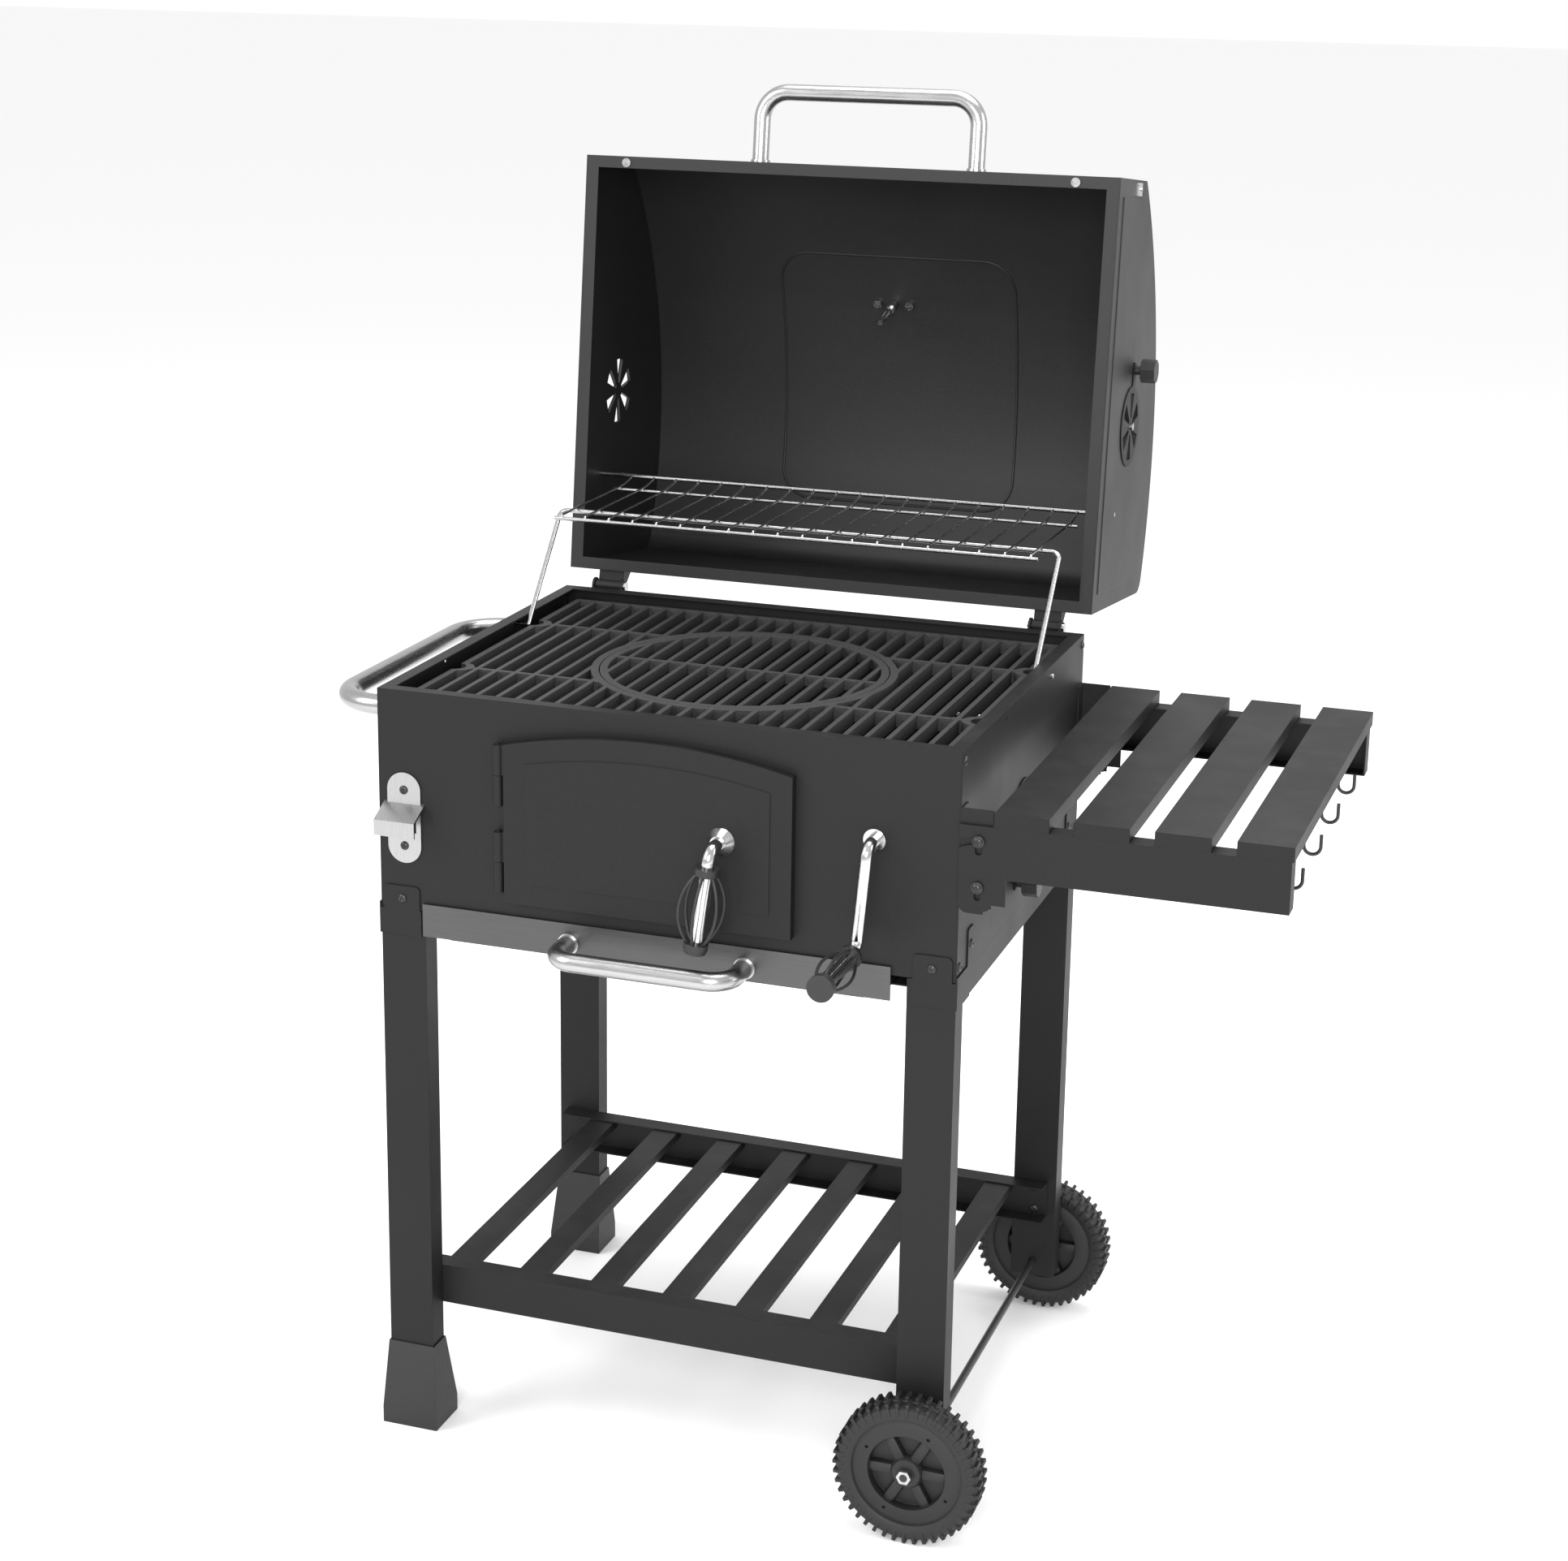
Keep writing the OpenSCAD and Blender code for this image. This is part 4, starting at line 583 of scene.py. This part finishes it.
# ------------------------------------------------------------------ wheels
def make_wheel(name, r, w):
    """A treaded wheel whose outer face looks along -Y, with its middle at the origin."""
    tyre = lathe(
        name + "_tyre",
        [
            (0.056, 0.003), (0.061, 0.0005), (r - 0.0065, 0.001), (r - 0.004, 0.004),
            (r - 0.0036, w / 2 - 0.002), (r - 0.0024, w / 2 - 0.001),
            (r - 0.0024, w / 2 + 0.001), (r - 0.0036, w / 2 + 0.002),
            (r - 0.004, w - 0.004), (r - 0.0065, w - 0.001), (0.061, w - 0.0005), (0.056, w - 0.003),
        ],
        96,
    )
    lugs = []
    count = 44
    for side in (0, 1):
        y0, y1 = (0.0012, w / 2 - 0.0012) if side == 0 else (w / 2 + 0.0012, w - 0.0012)
        lug = block(name + "_lug", (r - 0.006, y0, -0.0019), (r - 0.0002, y1, 0.0019), 0.0006)
        if side:
            moved(lug, Matrix.Rotation(math.pi / count, 4, "Y"))
        ring_of(lug, count)
        shoulder_y = (-0.0002, 0.0025) if side == 0 else (w - 0.0025, w + 0.0002)
        low = (r - 0.0125, shoulder_y[0], -0.0016)
        high = (r - 0.004, shoulder_y[1], 0.0016)
        shoulder = block(name + "_shoulder", low, high, 0.0005)
        if side:
            moved(shoulder, Matrix.Rotation(math.pi / count, 4, "Y"))
        ring_of(shoulder, count)
        lugs += [lug, shoulder]
    rim = lathe(
        name + "_rim",
        [
            (0.0385, 0.006), (0.0395, 0.0035), (0.052, 0.0030), (0.0545, 0.0045), (0.0565, 0.0045),
            (0.0565, w - 0.0045), (0.0545, w - 0.0045), (0.052, w - 0.0030), (0.0395, w - 0.0035),
            (0.0385, w - 0.006),
        ],
        72,
    )
    holes = []
    for k in range(4):
        a = math.radians(90 * k + 62)
        deselect()
        bpy.ops.mesh.primitive_cylinder_add(
            vertices=20, radius=0.0018, depth=0.006,
            location=(0.046 * math.cos(a), 0.003, 0.046 * math.sin(a)), rotation=(math.pi / 2, 0, 0),
        )
        holes.append(settle(bpy.context.object, "hole"))
    cut_away(rim, join(holes, "holes"))
    spoke = block(name + "_spoke", (0.012, 0.0055, -0.0062), (0.0400, w - 0.0055, 0.0062), 0.0045)
    ring_of(spoke, 6)
    web_in, web_out = w / 2 - 0.002, w / 2 + 0.002
    web = lathe(name + "_web", [(0.010, web_in), (0.040, web_in), (0.040, web_out), (0.010, web_out)])
    hub = lathe(
        name + "_hub",
        [
            (0.0042, 0.001), (0.0085, 0.0005), (0.0090, 0.0020), (0.0140, 0.0025), (0.0165, 0.0060),
            (0.0165, w - 0.006), (0.0140, w - 0.0025), (0.0090, w - 0.002), (0.0085, w - 0.0005),
            (0.0042, w - 0.001),
        ],
        48,
    )
    wheel = join([tyre, *lugs, rim, spoke, web, hub], name)
    paint_object(wheel, tyre_rubber)
    smooth(wheel, 40)
    return wheel


for node, body, flip in (("wheel_front", "front_wheel", False), ("wheel_back", "back_wheel", True)):
    low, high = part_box(node)
    centre = (low + high) / 2
    wheel = make_wheel("treaded_" + node, (high.z - low.z) / 2, high.y - low.y)
    outer = low.y if not flip else high.y
    place = Matrix.Translation((centre.x, outer, centre.z))
    if flip:
        place = place @ Matrix.Rotation(math.pi, 4, "Z")
    moved(wheel, place)
    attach(wheel, body)
    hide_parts(node)

# ------------------------------------------------------------------ screws
def make_screw(radius):
    """A domed head with a cross recess; its top looks along -Y and its seat is at the origin."""
    deselect()
    bpy.ops.mesh.primitive_uv_sphere_add(segments=28, ring_count=14, radius=radius, location=(0, 0, 0))
    o = bpy.context.object
    o.scale = (1, 0.52, 1)
    settle(o, "screw")
    bpy.ops.object.mode_set(mode="EDIT")
    bpy.ops.mesh.select_all(action="SELECT")
    bpy.ops.mesh.bisect(plane_co=(0, 0.0001, 0), plane_no=(0, 1, 0), clear_outer=True, use_fill=True)
    bpy.ops.object.mode_set(mode="OBJECT")
    arm = radius * 0.55
    slot_w = radius * 0.14
    depth = radius * 0.3
    a = block("slot_a", (-arm, -radius, -slot_w), (arm, -depth, slot_w))
    b = block("slot_b", (-slot_w, -radius, -arm), (slot_w, -depth, arm))
    cut_away(o, a)
    cut_away(o, b)
    smooth(o, 40)
    return o


FRONT, BACK, LEFT, RIGHT = (0, -1, 0), (0, 1, 0), (-1, 0, 0), (1, 0, 0)
hw = half_w * 1000
hd = (back_y - front_y) * 500
box_z = base_z * 1000
top_z = rim_z * 1000
seats = []
for sx, way in ((-1, LEFT), (1, RIGHT)):
    for sy, end in ((-1, FRONT), (1, BACK)):
        y = sy * (hd - 8)
        seats += [((sx * hw, y, box_z + 14), way), ((sx * hw, y, top_z - 11), way)]
        seats += [((sx * (hw + 1.5), sy * (hd - 44), box_z + 26), way)]
        seats += [((sx * (hw - 24), sy * (hd + 1.5), box_z + 12), end)]
leg_x = hw - 24.25
for sx in (-1, 1):
    for dz in (8, 34):
        seats += [((sx * leg_x, hd - 27, 174 - dz), FRONT), ((sx * leg_x, -hd + 27, 174 - dz), BACK)]
opener_x = -hw + 28
opener_z = top_z - 102
for dz in (0, -58):
    seats += [((opener_x, -hd - 2, opener_z + dz), FRONT)]
pattern = make_screw(0.0046)
screws = []
for i, (p, way) in enumerate(seats):
    turn = Matrix.Rotation(0.7 * i, 4, "Y")
    screws.append(copy_of(pattern, facing(mm(*p), way) @ turn, "screw_%d" % i))
handle_low, handle_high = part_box("side_handle")
for y in (handle_low.y + 0.0105, handle_high.y - 0.0105):
    deselect()
    bpy.ops.mesh.primitive_cylinder_add(
        vertices=6, radius=0.0075, depth=0.006, rotation=(0, math.pi / 2, 0),
        location=(left_low.x + 0.0045, y, (handle_low.z + handle_high.z) / 2),
    )
    screws.append(settle(bpy.context.object, "nut"))
screws = join(screws, "cross_recess_screws")
paint_object(screws, screw_black)
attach(screws, "cart")
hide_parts("black_screws")

pivots = []
px, pz = hw + 18, top_z - 129
for sy, way in ((-1, FRONT), (1, BACK)):
    for dz in (0, 45):
        pivots.append(copy_of(pattern, facing(mm(px, sy * (hd + 5.2), pz + dz), way), "pivot"))
        a = mm(px, sy * (hd + 5.4), pz + dz)
        b = mm(px, sy * (hd - 3.4), pz + dz)
        pivots.append(wire("shank", [a, b], 0.003))
        a = mm(px, sy * (hd + 5.4), pz + dz)
        b = mm(px, sy * (hd + 3.4), pz + dz)
        pivots.append(wire("washer", [a, b], 0.0058, sides=6))
pivots = join(pivots, "shelf_pivot_screws")
paint_object(pivots, screw_black)
smooth(pivots, 40)
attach(pivots, "cart")
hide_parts("side_bracket_screws")
bpy.data.objects.remove(pattern, do_unlink=True)

# ------------------------------------------------------------------ warming rack
rack_low, rack_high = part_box("warming_rack")
swing_low, swing_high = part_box("rack_legs")
frame_wire_r = 0.0025
pivot_y = rack_high.y - frame_wire_r
pivot_z = rack_high.z - frame_wire_r
bar_z = swing_high.z - frame_wire_r
grid_half = half_w - 0.029
front_bar = rack_low.y + frame_wire_r
deck_z = bar_z + 0.0045
rack_wires = 20
pieces = [wire("rack_pivot", [(rack_low.x, pivot_y, pivot_z), (rack_high.x, pivot_y, pivot_z)], frame_wire_r)]
for y, z, r in ((front_bar, deck_z - 0.0036, 0.0022), (pivot_y - 0.034, deck_z - 0.0032, 0.0019)):
    pieces.append(wire("rack_bar", [(mid_x - grid_half, y, z), (mid_x + grid_half, y, z)], r))
for i in range(rack_wires):
    x = mid_x - grid_half + 0.008 + i * 2 * (grid_half - 0.008) / (rack_wires - 1)
    path = [
        (x, front_bar - 0.001, deck_z - 0.004), (x, front_bar + 0.001, deck_z),
        (x, pivot_y - 0.030, deck_z), (x, pivot_y - 0.004, deck_z + 0.004), (x, pivot_y, pivot_z + 0.001),
    ]
    pieces.append(wire("rack_wire", rounded(path, 0.008, 4), 0.0014, sides=3))
rack = join(pieces, "bent_wire_rack")
paint_object(rack, wire_bright)
smooth(rack, 50)
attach(rack, "rack")
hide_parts("warming_rack")

# ------------------------------------------------------------------ raised outlines
# The lid's own frame: the hinge pin, the direction along the open mouth and the direction into the roof.
pin_low, pin_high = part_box("lid_hinge_pins")
pin = Vector((mid_x, (pin_low.y + pin_high.y) / 2, (pin_low.z + pin_high.z) / 2))
tilt = math.radians(6.5)
mouth_back, mouth_up = 16.75, 1.4
roof_radius, crown_at, crown_height = 466, 140, 264
roof_middle = crown_height - roof_radius


def lid_point(x, s, h):
    """x across, s from the hinge edge along the mouth, h above the mouth, in millimetres, lid open."""
    y, z = -mouth_back - s, mouth_up + h
    a = -(math.pi / 2 + tilt)
    return Vector((
        mid_x + x / 1000,
        pin.y + (y * math.cos(a) - z * math.sin(a)) / 1000,
        pin.z + (y * math.sin(a) + z * math.cos(a)) / 1000,
    ))


def roof_height(s, inset):
    return roof_middle + math.sqrt((roof_radius - inset) ** 2 - (s - crown_at) ** 2)


def rounded_rectangle(x0, x1, s0, s1, r, steps=10):
    pts = []
    corners = ((x1 - r, s1 - r, 0), (x0 + r, s1 - r, 90), (x0 + r, s0 + r, 180), (x1 - r, s0 + r, 270))
    for cx, cs, start in corners:
        for k in range(steps + 1):
            a = math.radians(start + 90 * k / steps)
            pts.append((cx + r * math.cos(a), cs + r * math.sin(a)))
    out = []
    for (xa, sa), (xb, sb) in zip(pts, pts[1:] + pts[:1]):
        n = max(1, int(math.hypot(xb - xa, sb - sa) / 12))
        out += [(xa + (xb - xa) * k / n, sa + (sb - sa) * k / n) for k in range(n)]
    return out


outline = rounded_rectangle(-141, 141, 76, 366, 35)
ridge = wire("inner_ridge", [lid_point(x, s, roof_height(s, 1.2)) for x, s in outline], 0.0017, True, 3)
paint_object(ridge, lid_paint)
smooth(ridge, 60)
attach(ridge, "lid")

# ------------------------------------------------------------------ thermometer
dial_low, dial_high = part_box("thermometer_dial")
dial_mid = (dial_low + dial_high) / 2
dial_x = -5
probe_a = lid_point(dial_x, crown_at, roof_middle)
dial_angle = math.asin(172 / roof_radius)
probe_s = crown_at + 100 * math.sin(dial_angle)
probe_h = roof_middle + 100 * math.cos(dial_angle)
dial_out = (lid_point(dial_x, probe_s, probe_h) - probe_a).normalized()
dial_up = (lid_point(dial_x, 240, 0) - lid_point(dial_x, crown_at, 0)).normalized()
dial_up = (dial_up - dial_out * dial_up.dot(dial_out)).normalized()
face_mat = dial_face("Dial face", dial_mid, dial_out, dial_up)
for s in nodes["thermometer_dial"].material_slots:
    s.material = face_mat

# ------------------------------------------------------------------ camera, floor and light
cam_data = bpy.data.cameras.new("Camera")
cam = bpy.data.objects.new("Camera", cam_data)
bpy.context.scene.collection.objects.link(cam)
bpy.context.scene.camera = cam
az, el, roll = math.radians(19.561), math.radians(14.966), math.radians(0.638)
target = Vector((mid_x, mid_y, 0.784))
back = Vector((math.sin(az) * math.cos(el), -math.cos(az) * math.cos(el), math.sin(el)))
right = Vector((math.cos(az), math.sin(az), 0))
up = back.cross(right)
right, up = right * math.cos(roll) + up * math.sin(roll), up * math.cos(roll) - right * math.sin(roll)
turn = Matrix((right, up, back)).transposed().to_4x4()
cam.matrix_world = Matrix.Translation(target + back * 3.0355) @ turn
cam_data.lens = 67.7
cam_data.sensor_width = 36.0
cam_data.shift_x = 0.0252
cam_data.shift_y = -0.0675
cam_data.clip_end = 100

deselect()
bpy.ops.mesh.primitive_plane_add(size=60, location=(0, 0, -0.0005))
floor = bpy.context.object
floor.name = "floor"
pale = bpy.data.materials.new("Pale floor")
pale.use_nodes = True
pale_shader = next(n for n in pale.node_tree.nodes if n.type == "BSDF_PRINCIPLED")
pale_shader.inputs["Base Color"].default_value = (0.93, 0.93, 0.93, 1)
pale_shader.inputs["Roughness"].default_value = 0.9
floor.data.materials.append(pale)
floor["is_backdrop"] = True

world = bpy.context.scene.world or bpy.data.worlds.new("World")
bpy.context.scene.world = world
world.use_nodes = True
sky = next(n for n in world.node_tree.nodes if n.type == "BACKGROUND")
sky.inputs["Color"].default_value = (1, 1, 1, 1)
bpy.context.scene.view_settings.view_transform = "Standard"
sky.inputs["Strength"].default_value = 1.0


def softbox(name, place, aim, size, power):
    light = bpy.data.lights.new(name, "AREA")
    light.shape = "RECTANGLE"
    light.size, light.size_y = size
    light.energy = power
    o = bpy.data.objects.new(name, light)
    bpy.context.scene.collection.objects.link(o)
    way = (Vector(aim) - Vector(place)).normalized()
    o.matrix_world = Matrix.Translation(place) @ way.to_track_quat("-Z", "Y").to_matrix().to_4x4()
    o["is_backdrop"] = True


softbox("left softbox", (-2.6, -2.2, 2.6), (0, 0, 0.8), (1.6, 2.2), 75)
softbox("front softbox", (0.7, -3.6, 1.9), (0, 0.4, 1.1), (1.8, 1.4), 105)
softbox("top softbox", (0.2, 0.4, 3.6), (0, 0, 0.8), (2.4, 2.4), 90)
softbox("right softbox", (3.0, 0.4, 1.8), (0, 0, 0.8), (1.2, 2.0), 45)

low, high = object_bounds()
